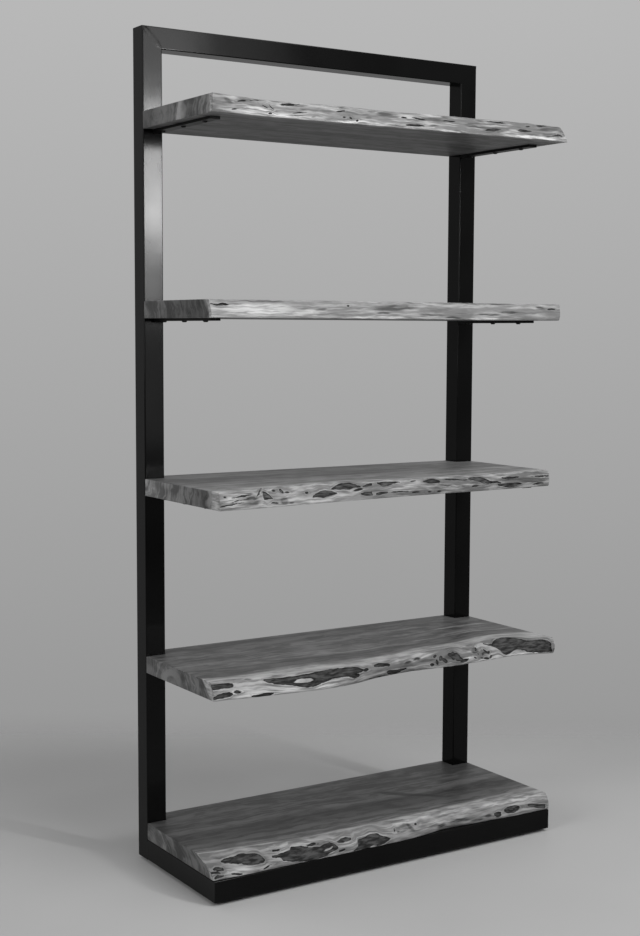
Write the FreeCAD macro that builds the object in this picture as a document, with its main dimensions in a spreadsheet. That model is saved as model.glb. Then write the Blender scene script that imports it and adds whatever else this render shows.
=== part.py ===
# Shelving unit: a welded square-tube frame that carries five wooden shelves with live front edges.
# Millimetres. +X is the right, -Y the front and +Z up.
# The origin is on the floor, in the middle of the unit's plan.
import FreeCAD, Part
import Sketcher

import os
import re

V = FreeCAD.Vector
TOLERANCE = 1e-6

doc = FreeCAD.newDocument("shelving_unit")

# Driving dimensions

SIZES = [
    ("frame_width", 965, "over the outer faces of the uprights"),
    ("base_depth", 381, "rear face of the uprights to the front of the base frame"),
    ("tube_side", 50, "square tube, outside"),
    ("tube_wall", 2, "square tube, wall"),
    ("tube_corner", 2.5, "square tube, outside corner radius"),
    ("foot_clearance", 7, "floor to the underside of the base frame"),
    ("bay_above_base", 363, "clear height over the base shelf"),
    ("bay_above_lower", 380, "clear height over the lower shelf"),
    ("bay_above_middle", 372, "clear height over the middle shelf"),
    ("bay_above_upper", 391, "clear height over the upper shelf"),
    ("bay_above_top", 142, "clear height from the top shelf to the top rail"),
    ("shelf_thickness", 40, "all five slabs"),
    ("shelf_reach", 410, "rear face of the uprights to the furthest live edge"),
    ("notch_clearance", 0.5, "gap between a slab's notch and the upright"),
    ("bracket_width", 25, "flat bar, width"),
    ("bracket_thickness", 6, "flat bar, thickness"),
    ("bracket_setback", 87, "furthest live edge to the front end of a bracket"),
    ("screw_near_margin", 28, "upright to the first screw in a bracket"),
    ("screw_far_margin", 45, "last screw to the front end of a bracket"),
    ("screw_count", 3, "screws in one bracket"),
    ("screw_diameter", 6, "shank"),
    ("screw_engagement", 19, "length of shank in the wood"),
    ("screw_head_diameter", 12, "low pan head"),
    ("screw_head_height", 3, "low pan head"),
    ("screw_rim_height", 1, "upright rim of the head"),
    ("screw_crown_diameter", 8, "flat crown of the head"),
    ("screw_slot_length", 6, "cross recess, length of an arm"),
    ("screw_slot_width", 1.4, "cross recess, width of an arm"),
    ("screw_slot_depth", 1.5, "cross recess"),
    ("screw_hole_clearance", 0.25, "radial, in the flat bar"),
    ("pilot_clearance", 0.05, "radial, in the wood"),
    ("pilot_spare", 2, "pilot hole past the screw's end"),
    ("tab_length", 40, "base tab, out from the side rail"),
    ("tab_offset", 45, "base rail to the middle of the nearest tab"),
    ("glide_offset", 25, "inner corner of the base frame to a front foot"),
    ("pad_diameter", 30, "glide pad"),
    ("pad_floor", 3, "pad under the end of its stem"),
    ("pad_bevel", 1, "bevel around the foot of the pad"),
    ("stem_diameter", 8, "threaded stem"),
    ("stem_length", 27, "threaded stem"),
    ("thread_clearance", 0.08, "radial, stem in its nut, plug or pad"),
    ("stem_hole_clearance", 0.5, "radial, stem in the wall of the front rail"),
    ("plug_thickness", 8, "threaded plug in the end of an upright"),
    ("plug_clearance", 0.1, "plug to the inside of the tube"),
    ("nut_width", 14, "weld nut, across flats"),
    ("nut_height", 8, "weld nut"),
]

# Places that follow from the driving dimensions

PLACES = [
    ("half_width", "frame_width / 2"),
    ("rear", "shelf_reach / 2"),
    ("upright_face", "rear - tube_side"),
    ("base_face", "rear - base_depth"),
    ("inner_half", "half_width - tube_side"),
    ("upright_x", "half_width - tube_side / 2"),
    ("upright_y", "rear - tube_side / 2"),
    ("base_axis", "foot_clearance + tube_side / 2"),
    ("base_shelf_under", "foot_clearance + tube_side"),
    ("lower_shelf_under", "base_shelf_under + shelf_thickness + bay_above_base"),
    ("middle_shelf_under", "lower_shelf_under + shelf_thickness + bay_above_lower"),
    ("upper_shelf_under", "middle_shelf_under + shelf_thickness + bay_above_middle"),
    ("top_shelf_under", "upper_shelf_under + shelf_thickness + bay_above_upper"),
    ("frame_top", "top_shelf_under + shelf_thickness + bay_above_top + tube_side"),
    ("bore_side", "tube_side - 2 * tube_wall"),
    ("bracket_x", "inner_half + bracket_width / 2"),
    ("bracket_length", "shelf_reach - tube_side - bracket_setback"),
    ("first_screw_y", "upright_face - screw_near_margin"),
    ("screw_run", "bracket_length - screw_near_margin - screw_far_margin"),
    ("screw_step", "screw_run / (screw_count - 1)"),
    ("bar_hole", "screw_diameter + 2 * screw_hole_clearance"),
    ("pilot_hole", "screw_diameter + 2 * pilot_clearance"),
    ("pilot_depth", "screw_engagement + pilot_spare"),
    ("tab_x", "inner_half - tab_length / 2"),
    ("rear_tab_y", "upright_face - tab_offset"),
    ("front_tab_y", "base_face + tube_side + tab_offset"),
    ("front_foot_x", "inner_half - glide_offset"),
    ("front_foot_y", "base_face + tube_side / 2"),
    ("thread_hole", "stem_diameter + 2 * thread_clearance"),
    ("wall_hole", "stem_diameter + 2 * stem_hole_clearance"),
]


def fill_sheet():
    """Put the sizes and the places into one sheet, each under its own name."""
    cells = doc.addObject("Spreadsheet::Sheet", "Sizes")
    for row, (name, number, meaning) in enumerate(SIZES, start=1):
        cells.set(f"A{row}", name)
        cells.set(f"B{row}", str(number))
        cells.set(f"C{row}", meaning)
        cells.setAlias(f"B{row}", name)
    for row, (name, formula) in enumerate(PLACES, start=len(SIZES) + 2):
        cells.set(f"A{row}", name)
        cells.set(f"B{row}", "=" + formula)
        cells.setAlias(f"B{row}", name)
    doc.recompute()
    return cells


sheet = fill_sheet()
nodes = []


def size(name):
    """Value of one cell, for the few shapes that are worked out in code."""
    return float(sheet.get(name))


def bound(formula):
    """The same formula with every cell's name led by the sheet's."""
    known = {name for name, *_ in SIZES + PLACES}
    return re.sub(r"[a-z_]+", lambda word: f"Sizes.{word[0]}" if word[0] in known else word[0], formula)


def tie(thing, **formulas):
    """Bind properties to formulas; x, y and z are the coordinates of its Placement."""
    for prop, formula in formulas.items():
        path = f"Placement.Base.{prop}" if prop in ("x", "y", "z") else prop
        thing.setExpression(path, bound(formula))
    return thing


def label(thing, name):
    """Name a finished sub-part and put it on the list of nodes."""
    thing.Label = name
    nodes.append(thing)
    return thing


def part(kind, name, **formulas):
    """A Part primitive or boolean with bound sizes."""
    return tie(doc.addObject(f"Part::{kind}", name), **formulas)


def cut(name, base, tools):
    """The base without the tools."""
    compound = doc.addObject("Part::Compound", f"{name}_tools")
    compound.Links = tools
    result = doc.addObject("Part::Cut", f"{name}_cut")
    result.Base = base
    result.Tool = compound
    return result


# Sketches

def new_sketch(body, name, plane_role):
    """Empty sketch on one of the body's own origin planes."""
    sketch = body.newObject("Sketcher::SketchObject", name)
    plane = next(item for item in body.Origin.OriginFeatures if item.Role == plane_role)
    sketch.AttachmentSupport = [(plane, "")]
    sketch.MapMode = "FlatFace"
    return sketch


def place_point(sketch, geometry, position, corner):
    """Bind one point of a sketch to a pair of formulas."""
    for direction, formula in zip(("DistanceX", "DistanceY"), corner):
        here = sheet.evalExpression(formula)
        rule = Sketcher.Constraint(direction, -1, 1, geometry, position, float(here))
        index = sketch.addConstraint(rule)
        sketch.setExpression(f"Constraints[{index}]", bound(formula))


def add_polygon(sketch, corners):
    """Closed outline whose corners are pairs of formulas."""
    points = [V(*(float(sheet.evalExpression(each)) for each in corner), 0) for corner in corners]
    first = sketch.GeometryCount
    count = len(points)
    for index in range(count):
        line = Part.LineSegment(points[index], points[(index + 1) % count])
        sketch.addGeometry(line)
    for index in range(count):
        following = first + (index + 1) % count
        sketch.addConstraint(Sketcher.Constraint("Coincident", first + index, 2, following, 1))
    for index, corner in enumerate(corners):
        place_point(sketch, first + index, 1, corner)


def add_circle(sketch, centre, diameter):
    """Circle with a bound centre and diameter."""
    spot = V(*(float(sheet.evalExpression(each)) for each in centre), 0)
    radius = float(sheet.evalExpression(diameter)) / 2
    index = sketch.addGeometry(Part.Circle(spot, V(0, 0, 1), radius))
    place_point(sketch, index, 3, centre)
    rule = sketch.addConstraint(Sketcher.Constraint("Diameter", index, 2 * radius))
    sketch.setExpression(f"Constraints[{rule}]", bound(diameter))


def new_body(name):
    """Empty body."""
    return doc.addObject("PartDesign::Body", f"{name}_body")


def add_pad(body, name, sketch, length):
    """Pad along the sketch's normal."""
    pad = body.newObject("PartDesign::Pad", name)
    pad.Profile = sketch
    return tie(pad, Length=length)


def add_through_pocket(body, name, sketch):
    """Pocket that goes right through the body, both ways from the sketch."""
    pocket = body.newObject("PartDesign::Pocket", name)
    pocket.Profile = sketch
    pocket.Type = "ThroughAll"
    pocket.SideType = "Symmetric"
    before = pocket.BaseFeature.Shape.Volume
    doc.recompute()
    if pocket.Shape.Volume >= before:
        raise RuntimeError(f"{name} cuts nothing")
    return pocket


def add_revolution(body, name, corners):
    """Full turn about the body's Z axis of an outline given as radius and height."""
    sketch = new_sketch(body, f"{name}_outline", "XZ_Plane")
    add_polygon(sketch, corners)
    turned = body.newObject("PartDesign::Revolution", name)
    turned.Profile = sketch
    turned.ReferenceAxis = (sketch, ["V_Axis"])
    turned.Angle = 360
    return turned


# Square tube
# Each tube is made upright: it runs along its own Z and a mitre leaves it longest on its -X side.

def square(side):
    """Corners of a centred square, as formulas."""
    return [(f"{sx}{side} / 2", f"{sy}{side} / 2")
            for sx, sy in (("-", "-"), ("", "-"), ("", ""), ("-", ""))]


def tube(name, length, near_mitre=False, far_mitre=False):
    """Square tube with rounded outside corners and mitres where they are asked for."""
    body = new_body(name)
    section = new_sketch(body, f"{name}_section", "XY_Plane")
    add_polygon(section, square("tube_side"))
    add_polygon(section, square("bore_side"))
    run = add_pad(body, f"{name}_run", section, length)
    doc.recompute()
    half = size("tube_side") / 2
    arrises = []
    for index, edge in enumerate(run.Shape.Edges, start=1):
        ends = [vertex.Point for vertex in edge.Vertexes]
        off_corner = max(abs(abs(each) - half) for end in ends for each in (end.x, end.y))
        if off_corner < TOLERANCE and abs(ends[0].z - ends[1].z) > TOLERANCE:
            arrises.append(f"Edge{index}")
    rounded = body.newObject("PartDesign::Fillet", f"{name}_corners")
    rounded.Base = (run, arrises)
    tie(rounded, Radius="tube_corner")
    doc.recompute()
    low, high = "-tube_side / 2", "tube_side / 2"
    if near_mitre:
        outline = new_sketch(body, f"{name}_near_outline", "XZ_Plane")
        add_polygon(outline, [(low, "0"), (high, "0"), (high, "tube_side")])
        add_through_pocket(body, f"{name}_near_mitre", outline)
    if far_mitre:
        outline = new_sketch(body, f"{name}_far_outline", "XZ_Plane")
        add_polygon(outline, [(low, length), (high, length), (high, f"{length} - tube_side")])
        add_through_pocket(body, f"{name}_far_mitre", outline)
    return body


def turn(thing, x_to, y_to, z_to):
    """Point the thing's own axes along three directions of the unit."""
    rotation = FreeCAD.Rotation(V(*x_to), V(*y_to), V(*z_to), "ZXY")
    thing.Placement = FreeCAD.Placement(V(), rotation)
    return thing


RIGHT, LEFT = (1, 0, 0), (-1, 0, 0)
BACK, FRONT = (0, 1, 0), (0, -1, 0)
UP, DOWN = (0, 0, 1), (0, 0, -1)


def build_frame():
    """Two uprights, the top rail and the four rails of the base."""
    left = turn(tube("left_upright", "frame_top - foot_clearance", far_mitre=True), RIGHT, BACK, UP)
    tie(left, x="-upright_x", y="upright_y", z="foot_clearance")
    label(left, "left_upright")

    right = turn(tube("right_upright", "frame_top - foot_clearance", far_mitre=True), LEFT, FRONT, UP)
    tie(right, x="upright_x", y="upright_y", z="foot_clearance")
    label(right, "right_upright")

    top = turn(tube("top_rail", "frame_width", near_mitre=True, far_mitre=True), DOWN, BACK, RIGHT)
    tie(top, x="-half_width", y="upright_y", z="frame_top - tube_side / 2")
    label(top, "top_rail")

    side_length = "upright_face - base_face"
    base_left = turn(tube("base_left_rail", side_length, far_mitre=True), RIGHT, UP, FRONT)
    tie(base_left, x="-upright_x", y="upright_face", z="base_axis")
    label(base_left, "base_left_rail")

    base_right = turn(tube("base_right_rail", side_length, far_mitre=True), LEFT, DOWN, FRONT)
    tie(base_right, x="upright_x", y="upright_face", z="base_axis")
    label(base_right, "base_right_rail")

    rear = turn(tube("base_rear_rail", "2 * inner_half"), DOWN, BACK, RIGHT)
    tie(rear, x="-inner_half", y="upright_y", z="base_axis")
    label(rear, "base_rear_rail")

    front = turn(tube("base_front_rail", "frame_width", near_mitre=True, far_mitre=True), BACK, UP, RIGHT)
    tie(front, x="-half_width", y="front_foot_y", z="base_axis")
    foot_holes = [
        part("Cylinder", f"{side}_foot_hole", Radius="wall_hole / 2", Height="2 * tube_wall",
             x=f"{sign}front_foot_x", y="front_foot_y", z="foot_clearance - tube_wall / 2")
        for side, sign in (("left", "-"), ("right", ""))
    ]
    label(cut("base_front_rail", front, foot_holes), "base_front_rail")


# Wooden shelves

class Slab:
    """One shelf: which reach it keeps to, and the set-backs of its live edge in millimetres.

    The set-backs are judged by eye from that reach, at equal steps from the left end to the right
    end, along the slab's top arris and its bottom arris. Between the two the edge swells by the
    bulge, which goes from its first value at the left end to its second at the right.
    """

    def __init__(self, name, reach, bulge, top, bottom):
        self.name = name
        self.reach = reach
        self.bulge = bulge
        self.top = top
        self.bottom = bottom


SLABS = [
    Slab("top_shelf", "shelf_reach", bulge=(2, 2),
         top=[28, 50, 60, 54, 40, 44, 50, 35, 32, 30, 24, 22, 32],
         bottom=[32, 24, 37, 28, 22, 31, 15, 13, 12, 8, 5, 4, 2]),
    Slab("upper_shelf", "shelf_reach", bulge=(4, 4),
         top=[50, 42, 35, 38, 45, 40, 34, 29, 34, 41, 36, 28, 23],
         bottom=[37, 31, 25, 30, 36, 30, 24, 21, 27, 33, 29, 24, 22]),
    Slab("middle_shelf", "shelf_reach", bulge=(4, 4),
         top=[8, 28, 48, 66, 78, 74, 52, 42, 40, 40, 48, 52, 52],
         bottom=[1, 0, 12, 19, 24, 30, 37, 41, 43, 40, 45, 49, 51]),
    Slab("lower_shelf", "shelf_reach", bulge=(6, 8),
         top=[47, 41, 24, 22, 23, 12, 24, 50, 58, 58, 92, 96, 24],
         bottom=[30, 21, 8, 0, 0, 21, 41, 46, 32, 38, 46, 52, 22]),
    Slab("base_shelf", "base_depth", bulge=(15, 6),
         top=[74, 62, 46, 34, 34, 36, 33, 28, 28, 26, 22, 18, 14],
         bottom=[5, 2, 1, 1, 0, 0, 0, 0, 22, 9, 5, 2, 1]),
]


def live_edge_surface(slab):
    """Front of a slab: a smooth surface drawn by its bottom line, its swell and its top line."""
    half, thickness = size("half_width"), size("shelf_thickness")
    foremost = size("rear") - size(slab.reach)
    steps = len(slab.top) - 1
    poles = []
    for station, (top, bottom) in enumerate(zip(slab.top, slab.bottom)):
        along = station / steps
        swell = slab.bulge[0] + (slab.bulge[1] - slab.bulge[0]) * along
        middle = (top + bottom) / 2 - 2 * swell
        heights = ((bottom, 0), (middle, thickness / 2), (top, thickness))
        poles.append([V(half * (2 * along - 1), foremost + setback, z) for setback, z in heights])
    inner_knots = len(poles) - 4
    surface = Part.BSplineSurface()
    times, knots = [4] + [1] * inner_knots + [4], list(range(inner_knots + 2))
    surface.buildFromPolesMultsKnots(poles, times, [3, 3], knots, [0, 1], False, False, 3, 2)
    return surface


def live_edge_solid(slab):
    """Slab with flat faces and a straight back, whose front is its live-edge surface."""
    half, rear, thickness = size("half_width"), size("rear"), size("shelf_thickness")
    surface = live_edge_surface(slab)
    front = surface.toShape()
    poles = surface.getPoles()

    def front_edge(z=None, x=None):
        """The front's border at one height or at one end."""
        for edge in front.Edges:
            middle = edge.valueAt((edge.FirstParameter + edge.LastParameter) / 2)
            if z is not None and abs(middle.z - z) < TOLERANCE:
                return edge
            if x is not None and abs(middle.x - x) < TOLERANCE:
                return edge
        raise RuntimeError(f"{slab.name} has no such border")

    faces = [front]
    for level, z in ((0, 0), (-1, thickness)):
        route = [poles[0][level], V(-half, rear, z), V(half, rear, z), poles[-1][level]]
        lines = [Part.makeLine(a, b) for a, b in zip(route, route[1:])]
        faces.append(Part.Face(Part.Wire(Part.__sortEdges__([front_edge(z=z)] + lines))))
    for station, x in ((0, -half), (-1, half)):
        route = [poles[station][0], V(x, rear, 0), V(x, rear, thickness), poles[station][-1]]
        lines = [Part.makeLine(a, b) for a, b in zip(route, route[1:])]
        faces.append(Part.Face(Part.Wire(Part.__sortEdges__([front_edge(x=x)] + lines))))
    back = [V(-half, rear, 0), V(half, rear, 0), V(half, rear, thickness), V(-half, rear, thickness)]
    faces.append(Part.Face(Part.makePolygon(back + back[:1])))
    shell = Part.makeShell(faces)
    shell.sewShape()
    solid = Part.makeSolid(shell)
    if solid.Volume < 0:
        solid.reverse()
    return solid


def screw_places(slab):
    """Formulas for the x and y of each screw under a slab."""
    if slab.name == "base_shelf":
        return [(f"{sign}tab_x", y) for sign in ("-", "") for y in ("rear_tab_y", "front_tab_y")]
    count = int(size("screw_count"))
    return [(f"{sign}bracket_x", f"first_screw_y - {step} * screw_step")
            for sign in ("-", "") for step in range(count)]


def build_shelf(slab):
    """Slab with its two rear notches and its pilot holes, at its height in the frame."""
    blank = doc.addObject("Part::Feature", f"{slab.name}_blank")
    blank.Shape = live_edge_solid(slab)
    tools = []
    for side, sign in (("left", "-1"), ("right", "1")):
        notch = part("Box", f"{slab.name}_{side}_notch",
                     Length="2 * tube_side", Width="2 * tube_side", Height="3 * shelf_thickness",
                     x=f"{sign} * (inner_half - notch_clearance + tube_side) - tube_side",
                     y="upright_face - notch_clearance", z="-1 * shelf_thickness")
        tools.append(notch)
    for index, (x, y) in enumerate(screw_places(slab)):
        pilot = part("Cylinder", f"{slab.name}_pilot_{index}",
                     Radius="pilot_hole / 2", Height="2 * pilot_depth", x=x, y=y, z="-1 * pilot_depth")
        tools.append(pilot)
    shelf = cut(slab.name, blank, tools)
    tie(shelf, z=f"{slab.name}_under")
    label(shelf, slab.name)


# Flat bars and screws

def build_bracket(name, sign, slab):
    """Flat bar that runs forward from an upright, with its row of screw holes."""
    body = new_body(name)
    outline = new_sketch(body, f"{name}_outline", "XY_Plane")
    left, right = "-bracket_width / 2", "bracket_width / 2"
    tip = "-1 * bracket_length"
    add_polygon(outline, [(left, tip), (right, tip), (right, "0"), (left, "0")])
    add_pad(body, f"{name}_bar", outline, "bracket_thickness")
    doc.recompute()
    spot = new_sketch(body, f"{name}_hole_outline", "XY_Plane")
    add_circle(spot, ("0", "-1 * screw_near_margin"), "bar_hole")
    hole = add_through_pocket(body, f"{name}_hole", spot)
    row = body.newObject("PartDesign::LinearPattern", f"{name}_holes")
    row.Originals = [hole]
    row.Direction = (spot, ["V_Axis"])
    row.Reversed = True
    tie(row, Length="screw_run", Occurrences="screw_count")
    body.Tip = row
    tie(body, x=f"{sign}bracket_x", y="upright_face", z=f"{slab.name}_under - bracket_thickness")
    label(body, name)


def build_tab(name, sign, y):
    """Short flat bar inside the base frame, with one screw hole."""
    bar = part("Box", f"{name}_bar", Length="tab_length", Width="bracket_width",
               Height="bracket_thickness", x=f"{sign}tab_x - tab_length / 2",
               y=f"{y} - bracket_width / 2", z="base_shelf_under - bracket_thickness")
    hole = part("Cylinder", f"{name}_hole", Radius="bar_hole / 2", Height="3 * bracket_thickness",
                x=f"{sign}tab_x", y=y, z="base_shelf_under - 2 * bracket_thickness")
    label(cut(name, bar, [hole]), name)


def build_screw():
    """Pattern screw: the underside of its head is at z = 0 and its shank points up."""
    body = new_body("screw")
    length = "bracket_thickness + screw_engagement"
    add_revolution(body, "screw_turned", [
        ("0", "-1 * screw_head_height"),
        ("screw_crown_diameter / 2", "-1 * screw_head_height"),
        ("screw_head_diameter / 2", "-1 * screw_rim_height"),
        ("screw_head_diameter / 2", "0"),
        ("screw_diameter / 2", "0"),
        ("screw_diameter / 2", f"{length} - screw_diameter / 2"),
        ("0", length),
    ])
    arms = [
        part("Box", f"screw_slot_{name}", Length=along, Width=across, Height="2 * screw_slot_depth",
             x=f"-1 * {along} / 2", y=f"-1 * {across} / 2",
             z="-1 * screw_head_height - screw_slot_depth")
        for name, along, across in (
            ("long", "screw_slot_length", "screw_slot_width"),
            ("cross", "screw_slot_width", "screw_slot_length"))
    ]
    return cut("screw", body, arms)


def build_screw_group(name, screw, slab):
    """All the screws under one slab."""
    seat = size(f"{slab.name}_under") - size("bracket_thickness")
    copies = []
    for x, y in screw_places(slab):
        copy = screw.Shape.copy()
        copy.translate(V(float(sheet.evalExpression(x)), float(sheet.evalExpression(y)), seat))
        copies.append(copy)
    group = doc.addObject("Part::Feature", f"{name}_group")
    group.Shape = Part.makeCompound(copies)
    label(group, name)


# Levelling feet

FEET = [
    ("rear_left", "-upright_x", "upright_y"),
    ("rear_right", "upright_x", "upright_y"),
    ("front_left", "-front_foot_x", "front_foot_y"),
    ("front_right", "front_foot_x", "front_foot_y"),
]


def build_pad(name, x, y):
    """Round pad with a bevelled foot and a blind seat for the end of its stem."""
    body = new_body(name)
    rim, foot, seat = "pad_diameter / 2", "pad_diameter / 2 - pad_bevel", "thread_hole / 2"
    add_revolution(body, f"{name}_turned", [
        ("0", "0"), (foot, "0"), (rim, "pad_bevel"), (rim, "foot_clearance"),
        (seat, "foot_clearance"), (seat, "pad_floor"), ("0", "pad_floor"),
    ])
    tie(body, x=x, y=y)
    label(body, name)


def build_stem(name, x, y):
    """Threaded stem that stands in its pad."""
    stem = part("Cylinder", f"{name}_rod", Radius="stem_diameter / 2", Height="stem_length",
                x=x, y=y, z="pad_floor")
    label(stem, name)


def build_plug(name, sign):
    """Threaded plug in the lower end of an upright."""
    side = "bore_side - 2 * plug_clearance"
    block = part("Box", f"{name}_block", Length=side, Width=side, Height="plug_thickness",
                 x=f"{sign}upright_x - ({side}) / 2", y=f"upright_y - ({side}) / 2", z="foot_clearance")
    hole = part("Cylinder", f"{name}_hole", Radius="thread_hole / 2", Height="3 * plug_thickness",
                x=f"{sign}upright_x", y="upright_y", z="foot_clearance - plug_thickness")
    label(cut(name, block, [hole]), name)


def build_nut(name, sign):
    """Weld nut on the inside of the front rail's lower wall."""
    seat = "foot_clearance + tube_wall"
    blank = part("Prism", f"{name}_blank", Circumradius="nut_width / 2 / cos(30deg)",
                 Height="nut_height", x=f"{sign}front_foot_x", y="front_foot_y", z=seat)
    blank.Polygon = 6
    hole = part("Cylinder", f"{name}_hole", Radius="thread_hole / 2", Height="3 * nut_height",
                x=f"{sign}front_foot_x", y="front_foot_y", z=f"{seat} - nut_height")
    label(cut(name, blank, [hole]), name)


def build_feet():
    """Plugs, nuts, stems and pads."""
    for side, sign in (("left", "-"), ("right", "")):
        build_plug(f"{side}_foot_plug", sign)
        build_nut(f"{side}_weld_nut", sign)
    for corner, x, y in FEET:
        build_stem(f"{corner}_glide_stem", x, y)
        build_pad(f"{corner}_glide_pad", x, y)


def build_shelves():
    """Shelves with the bars and screws that hold them."""
    screw = build_screw()
    doc.recompute()
    for slab in SLABS:
        build_shelf(slab)
        build_screw_group(f"{slab.name}_screws", screw, slab)
        if slab.name == "base_shelf":
            continue
        for side, sign in (("left", "-"), ("right", "")):
            build_bracket(f"{slab.name}_{side}_bracket", sign, slab)
    for side, sign in (("left", "-"), ("right", "")):
        build_tab(f"base_{side}_rear_tab", sign, "rear_tab_y")
        build_tab(f"base_{side}_front_tab", sign, "front_tab_y")


def write_nodes():
    """Check every object, then write one file for each sub-part."""
    doc.recompute()
    for thing in doc.Objects:
        if "Invalid" in thing.State or "Error" in thing.State:
            raise RuntimeError(f"{thing.Label} failed: {thing.State}")
    for node in nodes:
        if node.Shape.isNull() or not node.Shape.isValid() or not node.Shape.Solids:
            raise RuntimeError(f"{node.Label} has no valid solid")
    os.makedirs("parts", exist_ok=True)
    for node in nodes:
        node.Shape.exportStep(f"parts/{node.Label}.step")
        print(f"{node.Label}: {len(node.Shape.Solids)} solid(s), {node.Shape.Volume / 1000:.1f} cm3")


build_frame()
build_shelves()
build_feet()
write_nodes()
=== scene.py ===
"""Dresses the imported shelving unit: live-edge wooden shelves on a welded frame of black square tube."""
import logging
import math
from dataclasses import dataclass, field
from enum import Enum
from typing import Iterator, Optional, Sequence, Union

import bpy
import numpy as np
from mathutils import Matrix, Vector, noise
from mathutils.bvhtree import BVHTree


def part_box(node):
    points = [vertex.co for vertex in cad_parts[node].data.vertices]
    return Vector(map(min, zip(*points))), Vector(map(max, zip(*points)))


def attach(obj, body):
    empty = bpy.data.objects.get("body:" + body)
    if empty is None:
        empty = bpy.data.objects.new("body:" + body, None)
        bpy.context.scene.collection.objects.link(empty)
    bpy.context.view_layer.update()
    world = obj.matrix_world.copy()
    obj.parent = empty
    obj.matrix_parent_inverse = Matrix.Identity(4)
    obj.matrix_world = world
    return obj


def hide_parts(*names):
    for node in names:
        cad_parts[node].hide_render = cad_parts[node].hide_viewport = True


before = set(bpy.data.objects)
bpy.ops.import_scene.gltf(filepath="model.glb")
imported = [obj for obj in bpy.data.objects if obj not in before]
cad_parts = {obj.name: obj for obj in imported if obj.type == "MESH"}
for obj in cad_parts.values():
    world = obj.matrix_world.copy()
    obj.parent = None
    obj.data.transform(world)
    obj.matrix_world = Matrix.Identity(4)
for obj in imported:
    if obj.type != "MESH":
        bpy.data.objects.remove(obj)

LOG = logging.getLogger("shelving_unit")
MM = 0.001
UNIT = "unit"
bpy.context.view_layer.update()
SHARP_EDGE = math.radians(42.0)
CLEAR_OF_BARK = -9.0
MIX_SHARE, MIX_FIRST, MIX_SECOND, MIX_COLOUR = 0, 6, 7, 2
NOISE_SPAN = (0.3, 0.7)
CRISP_SPAN = (0.32, 0.68)

Socket = bpy.types.NodeSocket
Feed = Union[Socket, float, Sequence[float]]
Owner = Union[bpy.types.Material, bpy.types.World]
Pair = tuple[float, float]
Triple = tuple[float, float, float]


class Slot(Enum):
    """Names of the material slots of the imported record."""

    FRAME_PAINT = "frame_paint"
    SHELF_WOOD = "shelf_wood"
    PLAIN_STEEL = "plain_steel"


class MarkKind(Enum):
    """What a mark on a live edge is."""

    BARK = "hollow that still holds dark bark"
    ISLAND = "pale wood that stands clear inside a hollow"
    STAIN = "soft dark streak in the sapwood"
    # Pale marks are partly pale sapwood and partly painted highlight, laid along the top arris and the
    # lower rim where light catches the edge.
    PALE = "facet that was scraped bright"
    KNOT = "dark ring round a small knot"

    def at(self, *places: Sequence[float]) -> list["EdgeMark"]:
        """Marks of this kind, each given as along, up, half length, half height and perhaps tilt."""
        return [EdgeMark(self, *place) for place in places]


def grey(level: float) -> tuple[float, float, float, float]:
    """Linear colour of a neutral grey.

    Args:
        level: display grey from 0 to 255.

    Returns:
        Red, green, blue and alpha.
    """
    share = level / 255.0
    linear = share / 12.92 if share <= 0.04045 else ((share + 0.055) / 1.055) ** 2.4
    return (linear, linear, linear, 1.0)


def ease(value: np.ndarray, low: float, high: float) -> np.ndarray:
    """Smooth step of each value, from 0 at low to 1 at high."""
    share = np.clip((value - low) / (high - low), 0.0, 1.0)
    return share * share * (3.0 - 2.0 * share)


@dataclass(frozen=True)
class Ripple:
    """A smooth noise over a live edge: its height, and the length and rise of one ripple in metres.

    Noises of unlike layers don't resemble each other.
    """

    height: float
    length: float
    rise: float
    layer: float

    def at(self, along: np.ndarray, up: np.ndarray, log: float) -> np.ndarray:
        """Read the noise.

        Args:
            along: places along the edge, in metres.
            up: places up the edge, in metres, of the same shape.
            log: which log the slab is cut from.

        Returns:
            Noise between about minus and plus the height, of the same shape.
        """
        flat = zip((along / self.length).ravel(), (up / self.rise).ravel())
        values = [noise.noise(Vector((a, b, log + self.layer))) for a, b in flat]
        return self.height * np.array(values).reshape(along.shape)


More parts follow.
